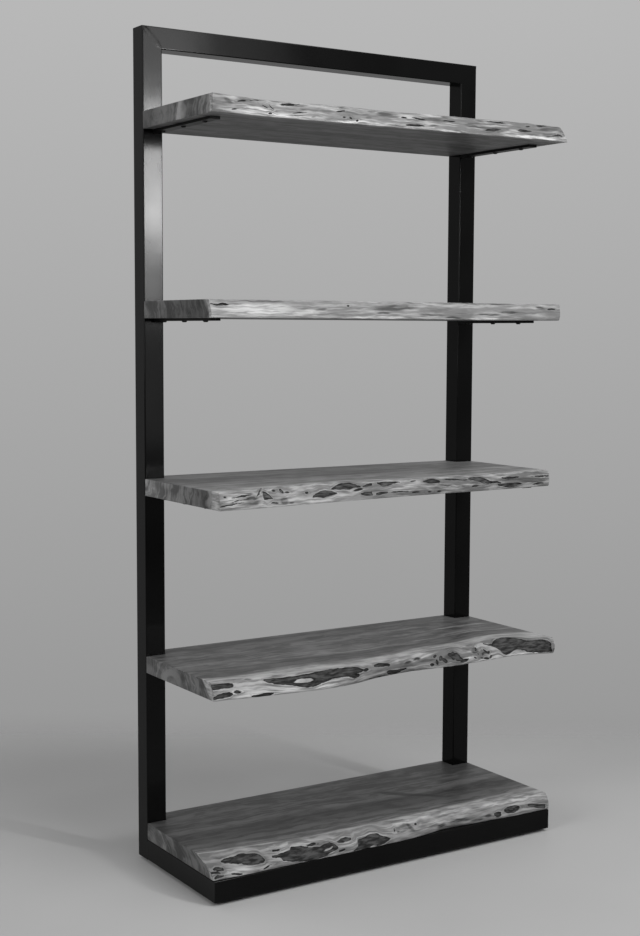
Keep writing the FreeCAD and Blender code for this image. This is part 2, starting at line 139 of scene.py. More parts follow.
class Recipe:
    """A node tree of a material or of the world, with short names for the nodes that it needs."""

    def __init__(self, owner: Owner, shader: str = "Principled BSDF") -> None:
        """Start from the owner's own shader.

        Args:
            owner: the material or the world.
            shader: name of the shader node.
        """
        owner.use_nodes = True
        self.owner = owner
        self.tree = owner.node_tree
        self.shader = self.tree.nodes[shader]

    def add(self, kind: str, **settings: object) -> bpy.types.Node:
        """Add a node.

        Args:
            kind: the node's type.
            settings: properties to set on it.

        Returns:
            The new node.
        """
        made = self.tree.nodes.new(kind)
        for name, value in settings.items():
            setattr(made, name, value)
        return made

    def feed(self, target: Socket, value: Feed) -> None:
        """Link a socket to the target, or set the target's own value.

        Args:
            target: the socket to feed.
            value: another socket, or a plain value.
        """
        if isinstance(value, Socket):
            self.tree.links.new(value, target)
        else:
            target.default_value = value

    def finish(self, **values: Feed) -> Owner:
        """Feed the shader.

        Args:
            values: shader sockets by name, with spaces written as underscores.

        Returns:
            The owner, finished.
        """
        for name, value in values.items():
            self.feed(self.shader.inputs[name.replace("_", " ")], value)
        return self.owner

    def attribute(self, name: str, output: str = "Fac") -> Socket:
        """A value that the mesh carries."""
        return self.add("ShaderNodeAttribute", attribute_name=name).outputs[output]

    def place(self) -> Socket:
        """Where a point is on its own object, in metres."""
        return self.add("ShaderNodeTexCoord").outputs["Object"]

    def split(self, vector: Socket) -> bpy.types.NodeOutputs:
        """Take a vector apart.

        Args:
            vector: the vector.

        Returns:
            Its numbers, by the names X, Y and Z.
        """
        made = self.add("ShaderNodeSeparateXYZ")
        self.feed(made.inputs[0], vector)
        return made.outputs

    def join(self, *numbers: Socket) -> Socket:
        """Put a vector together.

        Args:
            numbers: its numbers. One that isn't given is 0.

        Returns:
            The vector.
        """
        made = self.add("ShaderNodeCombineXYZ")
        for target, number in zip(made.inputs, numbers):
            self.feed(target, number)
        return made.outputs[0]

    def maths(self, operation: str, first: Feed, second: Feed = 0.0) -> Socket:
        """Work on two numbers.

        Args:
            operation: the node's operation.
            first: first number or socket.
            second: second number or socket.

        Returns:
            The result.
        """
        made = self.add("ShaderNodeMath", operation=operation)
        self.feed(made.inputs[0], first)
        self.feed(made.inputs[1], second)
        return made.outputs[0]

    def times(self, first: Feed, second: Feed) -> Socket:
        """The product of two numbers."""
        return self.maths("MULTIPLY", first, second)

    def total(self, *parts: tuple[Socket, float]) -> Socket:
        """A weighted sum of several values.

        Args:
            parts: pairs of value and weight.

        Returns:
            The sum.
        """
        shares = [self.times(value, weight) for value, weight in parts]
        result = shares[0]
        for share in shares[1:]:
            result = self.maths("ADD", result, share)
        return result

    def swing(self, value: Socket, reach: float) -> Socket:
        """Turn a noise of 0 to 1 into one of plus and minus half the reach."""
        return self.times(self.maths("SUBTRACT", value, 0.5), reach)

    def vector(self, operation: str, first: Feed, second: Feed) -> Socket:
        """Work on two vectors.

        Args:
            operation: the node's operation.
            first: first vector or socket.
            second: second vector or socket.

        Returns:
            The resulting vector, or the number where the operation gives one.
        """
        made = self.add("ShaderNodeVectorMath", operation=operation)
        self.feed(made.inputs[0], first)
        self.feed(made.inputs[1], second)
        return made.outputs["Value" if operation in ("DOT_PRODUCT", "DISTANCE") else "Vector"]

    def cloud(self, place: Socket, cells: Union[float, Sequence[float]], detail: float = 2.0) -> Socket:
        """Noise in space.

        Args:
            place: where to read it.
            cells: cells to the metre, alike in all directions or one number for each.
            detail: octaves of finer noise.

        Returns:
            Noise from 0 to 1.
        """
        spread = (cells,) * 3 if isinstance(cells, float) else cells
        made = self.add("ShaderNodeTexNoise")
        self.feed(made.inputs["Vector"], self.vector("MULTIPLY", place, spread))
        self.feed(made.inputs["Scale"], 1.0)
        self.feed(made.inputs["Detail"], detail)
        return made.outputs[0]

    def bands(self, distance: Socket, cells: float, detail: float = 2.0) -> Socket:
        """Noise along a line, which draws uneven bands.

        Args:
            distance: how far along the line, in metres.
            cells: bands to the metre.
            detail: octaves of finer bands.

        Returns:
            Noise from 0 to 1.
        """
        made = self.add("ShaderNodeTexNoise", noise_dimensions="1D")
        self.feed(made.inputs["W"], distance)
        self.feed(made.inputs["Scale"], cells)
        self.feed(made.inputs["Detail"], detail)
        return made.outputs[0]

    def step(self, value: Feed, low: float, high: float, to: Pair = (0.0, 1.0)) -> Socket:
        """Smooth step.

        Args:
            value: what to step on.
            low: value at which the step starts.
            high: value at which the step ends.
            to: results before and after the step.

        Returns:
            The step.
        """
        made = self.add("ShaderNodeMapRange", interpolation_type="SMOOTHSTEP")
        for name, number in (("From Min", low), ("From Max", high), ("To Min", to[0]), ("To Max", to[1])):
            self.feed(made.inputs[name], number)
        self.feed(made.inputs["Value"], value)
        return made.outputs[0]

    def oval(self, place: Socket, middle: Sequence[float], half: Sequence[float], lean: float) -> Socket:
        """A soft oval on the slab's face.

        Args:
            place: where to read it, along and inward.
            middle: its middle, in metres.
            half: its half length and half width, in metres.
            lean: how far it is turned, in degrees.

        Returns:
            1 in its middle, 0 on its outline and outside it.
        """
        cosine, sine = math.cos(math.radians(lean)), math.sin(math.radians(lean))
        away = self.vector("SUBTRACT", place, (*middle, 0.0))
        length = self.vector("DOT_PRODUCT", away, (cosine / half[0], sine / half[0], 0.0))
        width = self.vector("DOT_PRODUCT", away, (-sine / half[1], cosine / half[1], 0.0))
        far = self.maths("ADD", self.times(length, length), self.times(width, width))
        return self.step(far, 0.0, 1.0, (1.0, 0.0))

    def blend(self, share: Feed, first: Feed, second: Feed) -> Socket:
        """Mix two colours.

        Args:
            share: how much of the second colour.
            first: first colour.
            second: second colour.

        Returns:
            The mixed colour.
        """
        made = self.add("ShaderNodeMix", data_type="RGBA")
        for target, value in ((MIX_SHARE, share), (MIX_FIRST, first), (MIX_SECOND, second)):
            self.feed(made.inputs[target], value)
        return made.outputs[MIX_COLOUR]

    def ramp(self, value: Socket, *stops: Pair) -> Socket:
        """Run of greys.

        Args:
            value: where on the run to read.
            stops: pairs of place and display grey.

        Returns:
            The colour there.
        """
        made = self.add("ShaderNodeValToRGB")
        elements = made.color_ramp.elements
        while len(elements) < len(stops):
            elements.new(0.5)
        for element, (place, level) in zip(elements, stops):
            element.position = place
            element.color = grey(level)
        self.feed(made.inputs[0], value)
        return made.outputs[0]

    def bump(self, height: Socket, distance: float, under: Optional[Socket] = None) -> Socket:
        """Surface relief.

        Args:
            height: relief from 0 to 1.
            distance: depth of the relief, in metres.
            under: normal of a coarser relief, if any.

        Returns:
            The normal.
        """
        made = self.add("ShaderNodeBump")
        self.feed(made.inputs["Distance"], distance)
        self.feed(made.inputs["Height"], height)
        if under is not None:
            self.feed(made.inputs["Normal"], under)
        return made.outputs[0]


@dataclass(frozen=True)
class Fleck:
    """A noise in the wood: cells to the metre along, across and up it, octaves, and where it steps up."""

    cells: Triple
    detail: float = 3.0
    span: Pair = NOISE_SPAN

    def noise(self, mix: Recipe, place: Socket) -> Socket:
        """The plain noise at a place."""
        return mix.cloud(place, self.cells, self.detail)

    def patches(self, mix: Recipe, place: Socket) -> Socket:
        """The noise at a place, as a smooth step from 0 to 1."""
        return mix.step(self.noise(mix, place), *self.span)


@dataclass(frozen=True)
class Fade:
    """A smooth step between two readings, and what it gives before and after it."""

    low: float
    high: float
    before: float = 0.0
    after: float = 1.0

    def of(self, mix: Recipe, value: Feed) -> Socket:
        """The step, read at a value."""
        return mix.step(value, self.low, self.high, (self.before, self.after))


@dataclass(frozen=True)
class Figure:
    """A darker or paler oval in the heartwood, in millimetres along the slab and in from its edge."""

    along: float
    inward: float
    half_length: float
    half_width: float
    lean: float
    tone: float


@dataclass(frozen=True)
class WoodFinish:
    """Oiled slab of one log: dark heartwood, pale sapwood, and bark left in the hollows of its edge.

    The mesh carries where each point lies in the log. Tones are display greys. Zones run from the live
    edge inward, in millimetres. Pairs of shares are for the slab's left and right part.
    """

    name: str
    log: float
    zones: tuple[Pair, ...]
    figures: tuple[Figure, ...] = ()
    pith: Pair = (0.24, 0.012)
    sap: Pair = (108.0, 178.0)
    # Tone of the pale marks: partly pale sapwood, partly painted highlight on the arrises.
    bright: float = 196.0
    film: float = 104.0
    film_share: Pair = (0.4, 0.4)
    scab_share: Pair = (0.15, 0.15)
    bark: Pair = (30.0, 88.0)
    end_zones: tuple[Pair, ...] = ((0, 80), (400, 80))
    wander: Triple = (0.07, 0.05, 0.02)
    # Factor on the heartwood's right part: partly its own paler tone, partly painted light falling from the
    # right.
    right_tone_and_light: float = 1.0
    zone_span: float = 0.45
    roughness: Pair = (0.5, 0.8)
    specular: float = 0.22
    grain_depth: float = 0.3 * MM
    bark_depth: float = 1.4 * MM
    scab_tone: float = 0.68
    flake_share: Pair = (0.6, 0.6)
    stain_drop: float = 24.0
    sap_wander: float = 0.9
    crumb_reach: float = 4.0
    painted_shade_reach: float = 9.0
    contours: float = 0.42
    ring_cells: Pair = (34.0, 150.0)
    figure_shares: tuple[float, ...] = (0.22, 0.1, 0.24, 0.32, 0.12)
    ring_shares: tuple[float, ...] = (0.38, 0.22, 0.4)
    sap_shares: tuple[float, ...] = (0.4, 0.6)
    relief_shares: tuple[float, ...] = (0.4, 0.2, 0.4)
    sap_span: Pair = (0.2, 0.8)
    bark_span: Pair = (0.38, 0.64)
    halves_span: Pair = (-0.32, 0.1)
    right_tone_and_light_span: Pair = (0.1, 0.45)
    drifts: tuple[Fleck, ...] = (
        Fleck((1.4, 4.5, 4.5), 1.0), Fleck((6.0, 26.0, 26.0), 2.0), Fleck((22.0, 24.0, 24.0), 2.0))
    coarse: Fleck = Fleck((4.0, 26.0, 26.0))
    fine: Fleck = Fleck((16.0, 95.0, 95.0), 4.0)
    cross: Fleck = Fleck((26.0, 14.0, 14.0))
    mottle: Fleck = Fleck((1.0, 26.0, 34.0))
    streak: Fleck = Fleck((18.0, 60.0, 190.0), 4.0, CRISP_SPAN)
    films: Fleck = Fleck((9.0, 45.0, 70.0), span=(0.43, 0.58))
    scabs: Fleck = Fleck((14.0, 60.0, 100.0), span=(0.54, 0.64))
    flakes: Fleck = Fleck((13.0, 60.0, 260.0), span=(0.57, 0.64))
    crumbs: Fleck = Fleck((70.0, 170.0, 170.0))
    fibres: Fleck = Fleck((46.0, 120.0, 210.0), 4.0)
    figure_fade: Fade = Fade(0.26, 0.74, 0.56, 1.46)
    oval_fade: Fade = Fade(0.0, 1.0, 0.75, 1.0)
    ring_fade: Fade = Fade(0.22, 0.78, 0.5, 1.5)
    painted_highlight_fade: Fade = Fade(0.1, 0.7, 0.45, 1.1)
    sap_fade: Fade = Fade(0.8, 1.2)
    stain_fade: Fade = Fade(0.1, 0.8, 1.1, 0.5)
    contour_fade: Fade = Fade(0.0, 0.06, 0.7, 0.0)
    contour_near: Fade = Fade(-7.0, -2.0)
    contour_break: Fade = Fade(0.2, 0.7, 1.0, 0.3)
    bark_fade: Fade = Fade(-0.4, 0.4)
    # This fade and the reach above it set the painted shade round the outline of the bark hollows.
    painted_shade_fade: Fade = Fade(0.0, 3.6)

    def zoned(self, mix: Recipe, inward: Socket, zones: Sequence[Pair]) -> Socket:
        """Tone by distance from the live edge, from pairs of millimetres and display grey."""
        stops = ((distance * MM / self.zone_span, tone) for distance, tone in zones)
        return mix.ramp(mix.maths("DIVIDE", inward, self.zone_span), *stops)

    def material(self) -> bpy.types.Material:
        """Lay out the slab's growth rings, sapwood, film, stains and bark, with painted shade round the
        bark, painted highlights along the live edge and a right part that is partly lightened by painted
        light.

        Returns:
            The slab's finish.
        """
        mix = Recipe(bpy.data.materials.new(self.name))
        grain = mix.attribute("grain", "Vector")
        log = (self.log,) * 3
        place = mix.vector("ADD", grain, log)
        parts = mix.split(grain)

        drifts = [drift.noise(mix, place) for drift in self.drifts]
        shift = mix.total(*zip([mix.swing(drift, 1.0) for drift in drifts], self.wander))
        inward = mix.maths("ADD", parts["Y"], shift)
        ring = mix.vector("DISTANCE", mix.join(inward, parts["Z"]), (*self.pith, 0.0))
        bent = mix.join(parts["X"], inward, parts["Z"])
        woven = mix.vector("ADD", bent, log)

        wide = mix.step(mix.bands(ring, self.ring_cells[0]), *CRISP_SPAN)
        narrow = mix.step(mix.bands(ring, self.ring_cells[1]), *NOISE_SPAN)
        coarse, fine = self.coarse.patches(mix, woven), self.fine.patches(mix, woven)
        cross, mottle = self.cross.patches(mix, place), self.mottle.patches(mix, place)
        figure = mix.total(*zip((wide, narrow, coarse, fine, cross), self.figure_shares))
        heart = mix.times(self.zoned(mix, inward, self.zones), self.figure_fade.of(mix, figure))
        # Partly painted light: the heartwood's right part is brightened, as if lit more from the right, and
        # partly given its own paler tone.
        heart = mix.times(heart, mix.step(parts["X"], *self.right_tone_and_light_span, (1.0, self.right_tone_and_light)))
        for oval in self.figures:
            share = mix.oval(bent, (oval.along * MM, oval.inward * MM),
                             (oval.half_length * MM, oval.half_width * MM), oval.lean)
            share = mix.times(share, self.oval_fade.of(mix, fine))
            heart = mix.times(heart, mix.step(share, 0.0, 1.0, (1.0, oval.tone)))
        rings = mix.total(*zip((wide, narrow, mottle), self.ring_shares))
        sawn = mix.times(self.zoned(mix, inward, self.end_zones), self.ring_fade.of(mix, rings))
        heart = mix.blend(mix.attribute("sawn_end"), heart, sawn)

        rind = mix.attribute("rind")
        streak = self.streak.patches(mix, place)
        sap = mix.ramp(mix.total(*zip((figure, streak), self.sap_shares)), *zip(self.sap_span, self.sap))
        # Partly painted highlight: the pale marks along the top arris and the lower rim are lightened
        # towards this tone.
        bright = mix.times(mix.attribute("pale"), self.painted_highlight_fade.of(mix, streak))
        sap = mix.blend(bright, sap, grey(self.bright))
        for fleck, shares, tone in (
                (self.films, self.film_share, self.film),
                (self.scabs, self.scab_share, self.film * self.scab_tone),
                (self.flakes, self.flake_share, self.bark[1])):
            smear = mix.times(fleck.patches(mix, place), mix.step(parts["X"], *self.halves_span, shares))
            sap = mix.blend(mix.times(smear, rind), sap, grey(tone))

        depth = mix.maths("ADD", mix.attribute("sapwood"), mix.swing(drifts[1], self.sap_wander))
        wood = mix.blend(self.sap_fade.of(mix, depth), sap, heart)
        stain = mix.times(mix.attribute("stain"), self.stain_fade.of(mix, streak))
        wood = mix.blend(stain, wood, grey(self.bark[1] - self.stain_drop))

        gap = mix.attribute("bark")
        spot = mix.place()
        crumble = self.crumbs.noise(mix, spot)
        ridge = mix.maths("ABSOLUTE", mix.swing(mix.bands(gap, self.contours, 1.0), 1.0))
        contour = mix.times(self.contour_fade.of(mix, ridge), self.contour_near.of(mix, gap))
        contour = mix.times(contour, self.contour_break.of(mix, streak))
        wood = mix.blend(mix.times(contour, rind), wood, grey(self.bark[1]))
        edge = mix.maths("ADD", gap, mix.swing(crumble, self.crumb_reach))
        barked = self.bark_fade.of(mix, edge)
        fibre = self.fibres.noise(mix, spot)
        dark = mix.ramp(fibre, *zip(self.bark_span, self.bark))
        # Painted shade: the bark darkens towards the hollow's outline, where the overhanging edge would
        # shade it.
        painted_shade_rim = self.painted_shade_fade.of(mix, mix.maths("ADD", edge, mix.swing(fibre, self.painted_shade_reach)))
        dark = mix.blend(painted_shade_rim, grey(self.bark[0]), dark)
        wood = mix.blend(barked, wood, dark)

        relief = mix.total(*zip((fine, narrow, streak), self.relief_shares))
        rough_bark = mix.bump(mix.times(crumble, barked), self.bark_depth)
        return mix.finish(
            Base_Color=wood,
            Roughness=mix.step(barked, 0.0, 1.0, self.roughness),
            Specular_IOR_Level=self.specular,
            Normal=mix.bump(relief, self.grain_depth, rough_bark))


@dataclass(frozen=True)
class PaintFinish:
    """Semi-gloss black powder coat with a faint orange peel."""

    name: str = "black_powder_coat"
    tone: Pair = (6.0, 10.0)
    roughness: Pair = (0.11, 0.15)
    specular: float = 0.1
    broad_cells: float = 7.0
    level_cells: float = 28.0
    level_depth: float = 0.06 * MM
    peel_cells: float = 650.0
    peel_depth: float = 0.004 * MM

    def material(self) -> bpy.types.Material:
        """Lay out the coat's slight unevenness in tone, gloss and level.

        Returns:
            The coat.
        """
        mix = Recipe(bpy.data.materials.new(self.name))
        place = mix.place()
        broad = mix.cloud(place, self.broad_cells)
        level = mix.bump(mix.cloud(place, self.level_cells, 1.0), self.level_depth)
        return mix.finish(
            Base_Color=mix.ramp(broad, *zip(NOISE_SPAN, self.tone)),
            Roughness=mix.step(broad, 0.25, 0.75, self.roughness),
            Specular_IOR_Level=self.specular,
            Normal=mix.bump(mix.cloud(place, self.peel_cells, 1.0), self.peel_depth, level))


@dataclass(frozen=True)
class SteelFinish:
    """Bare, plated or blackened steel with fine turning marks."""

    name: str
    tone: Pair
    roughness: Pair = (0.28, 0.46)
    dull_cells: float = 90.0
    mark_cells: Triple = (400.0, 400.0, 4200.0)
    mark_depth: float = 0.01 * MM

    def material(self) -> bpy.types.Material:
        """Lay out the metal's tone, turning marks and dulled patches.

        Returns:
            The metal.
        """
        mix = Recipe(bpy.data.materials.new(self.name))
        place = mix.place()
        dulled = mix.cloud(place, self.dull_cells, 3.0)
        turned = mix.cloud(place, self.mark_cells, 1.0)
        return mix.finish(
            Base_Color=mix.ramp(dulled, *zip(NOISE_SPAN, self.tone)),
            Metallic=1.0,
            Roughness=mix.step(dulled, *NOISE_SPAN, self.roughness),
            Normal=mix.bump(turned, self.mark_depth))


@dataclass(frozen=True)
class NylonFinish:
    """Moulded black nylon with a fine matt grain."""

    name: str = "black_nylon"
    tone: Pair = (20.0, 30.0)
    roughness: Pair = (0.5, 0.62)
    broad_cells: float = 60.0
    grain_cells: float = 1200.0
    grain_depth: float = 0.02 * MM

    def material(self) -> bpy.types.Material:
        """Lay out the moulded grain.

        Returns:
            The nylon.
        """
        mix = Recipe(bpy.data.materials.new(self.name))
        place = mix.place()
        broad, grain = mix.cloud(place, self.broad_cells), mix.cloud(place, self.grain_cells, 1.0)
        return mix.finish(
            Base_Color=mix.ramp(broad, *zip(NOISE_SPAN, self.tone)),
            Roughness=mix.step(grain, *NOISE_SPAN, self.roughness),
            Normal=mix.bump(grain, self.grain_depth))


def new_piece(name: str, points: Sequence, faces: Sequence,
              material: bpy.types.Material) -> bpy.types.Object:
    """Make a smooth-shaded mesh piece.

    Args:
        name: the piece's name.
        points: its vertices, in metres.
        faces: its faces, as runs of vertex numbers.
        material: its finish.

    Returns:
        The new object.
    """
    mesh = bpy.data.meshes.new(name)
    mesh.from_pydata([tuple(point) for point in points], [], faces)
    mesh.shade_smooth()
    mesh.set_sharp_from_angle(angle=SHARP_EDGE)
    mesh.materials.append(material)
    piece = bpy.data.objects.new(name, mesh)
    bpy.context.scene.collection.objects.link(piece)
    return piece


def sides(rings: int, around: int) -> list[tuple[int, ...]]:
    """Faces between rings of points that lie one over the other.

    Args:
        rings: how many rings there are.
        around: how many points each ring has.

    Returns:
        The faces, as runs of point numbers.
    """
    faces = []
    for low in range(0, (rings - 1) * around, around):
        high = low + around
        for step in range(around):
            following = (step + 1) % around
            faces.append((low + step, low + following, high + following, high + step))
    return faces


def caps(rings: int, around: int) -> list[tuple[int, ...]]:
    """Faces that close the first and the last ring of a run of rings."""
    last = (rings - 1) * around
    return [tuple(reversed(range(around))), tuple(range(last, last + around))]


def dressed(node: str, material: bpy.types.Material) -> bpy.types.Object:
    """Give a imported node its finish.

    Args:
        node: the node's name.
        material: its finish.

    Returns:
        The node's object.
    """
    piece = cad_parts[node]
    piece.data.materials.clear()
    piece.data.materials.append(material)
    return piece


class CadSolid:
    """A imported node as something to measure."""

    def __init__(self, node: str) -> None:
        """Take the node's corners and a tree for rays.

        Args:
            node: the node's name.
        """
        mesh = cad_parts[node].data
        self.low, self.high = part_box(node)
        points = [vertex.co.copy() for vertex in mesh.vertices]
        self.tree = BVHTree.FromPolygons(points, [tuple(face.vertices) for face in mesh.polygons])

    def reach(self, start: Sequence[float], toward: Sequence[float]) -> Vector:
        """Where a straight line meets the node.

        Args:
            start: where the line starts.
            toward: which way it goes.

        Returns:
            The first point that it meets.
        """
        spot = self.tree.ray_cast(Vector(start), Vector(toward))[0]
        if spot is None:
            raise ValueError(f"nothing to meet from {tuple(start)}")
        return spot


@dataclass(frozen=True)
class EdgeMark:
    """One mark on a live edge, in millimetres from the middle of the shelf and from its underside."""

    kind: MarkKind
    along: float
    up: float
    half_length: float
    half_height: float
    tilt: float = 0.0

    def nearness(self, along: np.ndarray, up: np.ndarray) -> np.ndarray:
        """How far inside the mark each place is.

        Args:
            along: places along the edge, in millimetres.
            up: places up the edge, in millimetres.

        Returns:
            0 at the mark's middle, 1 on its outline and more outside it.
        """
        lean = math.radians(self.tilt)
        across, over = along - self.along, up - self.up
        first = (across * math.cos(lean) + over * math.sin(lean)) / self.half_length
        second = (over * math.cos(lean) - across * math.sin(lean)) / self.half_height
        return np.hypot(first, second)


@dataclass(frozen=True)
class EdgeHollow:
    """A large hollow with bark, drawn by its lower and upper line at places along it, in millimetres."""

    line: tuple[Triple, ...]
    grain_reach: float = 12.0

    def lines(self, along: np.ndarray) -> tuple[np.ndarray, np.ndarray, np.ndarray]:
        """The hollow's outline.

        Args:
            along: places along the edge, in millimetres.

        Returns:
            Its lower line, its upper line and the distance from its nearer end, below zero outside it.
        """
        places, low, high = (np.array(column, float) for column in zip(*self.line))
        ends = np.minimum(along - places[0], places[-1] - along)
        return np.interp(along, places, low), np.interp(along, places, high), ends

    def inside(self, along: np.ndarray, up: np.ndarray) -> np.ndarray:
        """How many millimetres inside the outline each place is, below zero outside it."""
        floor, roof, ends = self.lines(along)
        return np.minimum(np.minimum(up - floor, roof - up), ends)

    def bend(self, along: np.ndarray, up: np.ndarray) -> np.ndarray:
        """How far the hollow pushes the grain aside.

        Args:
            along: places along the edge, in millimetres.
            up: places up the edge, in millimetres.

        Returns:
            Millimetres up or down at each place.
        """
        floor, roof, ends = self.lines(along)
        beyond = np.maximum(-ends, 0.0)
        middle, half = (floor + roof) / 2, np.maximum((roof - floor) / 2, 1.0)
        near = np.maximum(np.abs(up - middle) / half, 1.0)
        return (up - middle) * np.exp(-beyond / self.grain_reach) / near ** 2


def hollow(*line: Triple) -> EdgeHollow:
    """A hollow through places given as along, lower line and upper line."""
    return EdgeHollow(line)


@dataclass
class EdgeRelief:
    """Relief and colouring of a live edge, one value for each place on it."""

    push: np.ndarray
    flow: np.ndarray
    bark: np.ndarray
    stain: np.ndarray
    pale: np.ndarray


@dataclass(frozen=True)
class Level:
    """One height of a slab's outline: how high, and how far its rounded arris stands in there."""

    height: float
    inset: float


@dataclass
class LiveEdgeShelf:
    """A solid slab with a natural front edge, notched at the back for the uprights."""

    node: str
    finish: WoodFinish
    marks: list[EdgeMark]
    sap_width: Pair
    hollows: Sequence[EdgeHollow] = ()
    sap_growth: float = 0.0
    wane: Pair = (2.0 * MM, 2.0 * MM)
    facets: Sequence[Pair] = ()
    arris: float = 1.4 * MM
    arris_steps: int = 3
    body_levels: int = 26
    fine_steps: int = 5
    outer_spans: int = 6
    inner_spans: int = 108
    rows: tuple[float, ...] = (0.0, 0.012, 0.03, 0.06, 0.11, 0.18, 0.28, 0.4, 0.54, 0.7, 0.85, 1.0)
    rear_rows: tuple[float, ...] = (0.0, 0.34, 0.67, 1.0)
    hollow_depth: float = 3.2 * MM
    ray_margin: float = 0.3 * MM
    notch_probe: float = 10.0 * MM
    straighten: float = 0.09
    waves: tuple[Ripple, ...] = (
        Ripple(1.4 * MM, 0.11, 0.030, 0.0), Ripple(1.1 * MM, 0.036, 0.010, 3.1),
        Ripple(0.5 * MM, 0.050, 0.0045, 5.7))
    warps: tuple[Ripple, Ripple] = (Ripple(3.0, 0.024, 0.012, 1.3), Ripple(1.5, 0.018, 0.010, 2.6))
    crumbs: Ripple = Ripple(0.35 * MM, 0.009, 0.005, 7.9)
    facet_wave: Ripple = Ripple(1.0, 0.020, 0.026, 9.2)
    wane_wave: Ripple = Ripple(1.0, 0.042, 1.0, 6.3)
    arris_wave: Ripple = Ripple(1.2, 0.05, 1.0, 4.4)
    wane_spread: Pair = (0.4, 1.5)
    facet_depth: float = 2.2 * MM
    facet_flat: float = 0.7
    lip_height: float = 0.5 * MM
    lip_place: float = -1.4
    lip_width: float = 1.3
    knot_ring: Pair = (0.66, 0.4)
    stain_fade: Pair = (0.55, 1.3)
    stain_depth: float = 0.5 * MM
    pale_and_highlight_fade: Pair = (0.45, 1.15)
    pale_and_highlight_share: float = 0.8
    sunk_fade: Pair = (-0.5, 2.0)
    sunk_calm: float = 0.5
    most_push: float = 1.6 * MM
    grain_share: float = 0.8
    end_facing: float = 0.8
    solid: CadSolid = field(init=False)

    def __post_init__(self) -> None:
        """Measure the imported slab: its height, its ends and its notches."""
        self.solid = CadSolid(self.node)
        low, high = self.solid.low, self.solid.high
        self.under, self.thickness = low.z, high.z - low.z
        self.half, self.rear = high.x, high.y
        middle = (low.z + high.z) / 2
        self.notch_x = self.solid.reach((high.x + 1.0, high.y - self.notch_probe, middle), (-1, 0, 0)).x
        self.notch_y = self.solid.reach((high.x - self.notch_probe, high.y + 1.0, middle), (0, -1, 0)).y

    def levels(self) -> list[Level]:
        """Work out the heights of the slab's outline, closer together round the arrises.

        Returns:
            The heights, from the underside up.
        """
        radius = self.arris
        turns = [math.radians(90.0 * step / self.arris_steps) for step in range(self.arris_steps)]
        lower = [Level(radius * (1 - math.cos(turn)), radius * (1 - math.sin(turn))) for turn in turns]
        body = np.linspace(radius, self.thickness - radius, self.body_levels)
        upper = [Level(self.thickness - level.height, level.inset) for level in reversed(lower)]
        return lower + [Level(float(height), 0.0) for height in body] + upper

    def columns(self) -> np.ndarray:
        """Work out the lines across the slab, which meet both notches.

        Returns:
            The lines' x, from the left end to the right end.
        """
        end, notch = self.half - self.arris, self.notch_x - self.arris
        outer = np.linspace(-end, -notch, self.outer_spans + 1)
        inner = np.linspace(-notch, notch, self.inner_spans + 1)
        return np.concatenate([outer[:-1], inner, -outer[::-1][1:]])

    def stations(self, columns: np.ndarray) -> np.ndarray:
        """The x of places along the live edge, several to each column, from left to right."""
        steps = np.arange((len(columns) - 1) * self.fine_steps + 1) / self.fine_steps
        return np.interp(steps, np.arange(len(columns)), columns)

    def front_lines(self, stations: np.ndarray, levels: list[Level]) -> np.ndarray:
        """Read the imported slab's front.

        Args:
            stations: places along the edge.
            levels: heights of the outline.

        Returns:
            The front's y at each station and level.
        """
        highest = self.thickness - self.ray_margin
        heights = np.clip([level.height for level in levels], self.ray_margin, highest)
        start = self.solid.low.y - 1.0
        return np.array([
            [self.solid.reach((x, start, self.under + height), (0, 1, 0)).y for height in heights]
            for x in stations])

    def relief(self, stations: np.ndarray, levels: list[Level]) -> EdgeRelief:
        """Work out the edge's waves, hollows and colouring.

        Args:
            stations: places along the edge.
            levels: heights of the outline.

        Returns:
            The relief at each station and level.
        """
        heights = np.array([level.height for level in levels])
        along, up = np.meshgrid(stations, heights, indexing="ij")
        log = self.finish.log
        push = sum(wave.at(along, up, log) for wave in self.waves)
        for middle, half in self.facets:
            window = 1.0 - ease(np.abs(along / MM - middle), self.facet_flat * half, half)
            push += self.facet_depth * window * np.abs(self.facet_wave.at(along, up, log))

        turn = self.wane_wave.at(stations, 0 * stations, log)
        least, spread = self.wane_spread
        for size, height in ((self.wane[0], heights - self.thickness), (self.wane[1], -heights)):
            radius = size * (least + spread * np.abs(turn))[:, None]
            share = np.clip(1.0 + height / radius, 0.0, 1.0)
            push -= radius * (1.0 - np.sqrt(1.0 - share * share))

        x_mm, z_mm = (
            place / MM + warp.at(along, up, log) for place, warp in zip((along, up), self.warps))
        sunken = np.full(along.shape, CLEAR_OF_BARK)
        stained, bright = np.zeros(along.shape), np.zeros(along.shape)
        flow = z_mm.copy()
        for shape in self.hollows:
            sunken = np.maximum(sunken, shape.inside(x_mm, z_mm))
            flow -= self.grain_share * shape.bend(x_mm, z_mm)
        lip = self.lip_height * np.exp(-((sunken - self.lip_place) / self.lip_width) ** 2)
        ring, ring_half = self.knot_ring
        for mark in self.marks:
            near = mark.nearness(x_mm, z_mm)
            inside = (1.0 - near) * min(mark.half_height, mark.half_length)
            if mark.kind is MarkKind.BARK:
                sunken = np.maximum(sunken, inside)
            elif mark.kind is MarkKind.ISLAND:
                sunken = np.minimum(sunken, -inside)
            elif mark.kind is MarkKind.KNOT:
                sunken = np.maximum(sunken, (ring_half - np.abs(near - ring)) * mark.half_height)
            elif mark.kind is MarkKind.STAIN:
                stained = np.maximum(stained, 1.0 - ease(near, *self.stain_fade))
            else:
                # Pale marks: partly pale sapwood, partly painted highlight along the top arris and the
                # lower rim.
                bright = np.maximum(bright, self.pale_and_highlight_share * (1.0 - ease(near, *self.pale_and_highlight_fade)))
            if mark.kind in (MarkKind.BARK, MarkKind.KNOT):
                flow -= self.grain_share * (z_mm - mark.up) / np.maximum(near, 1.0) ** 2

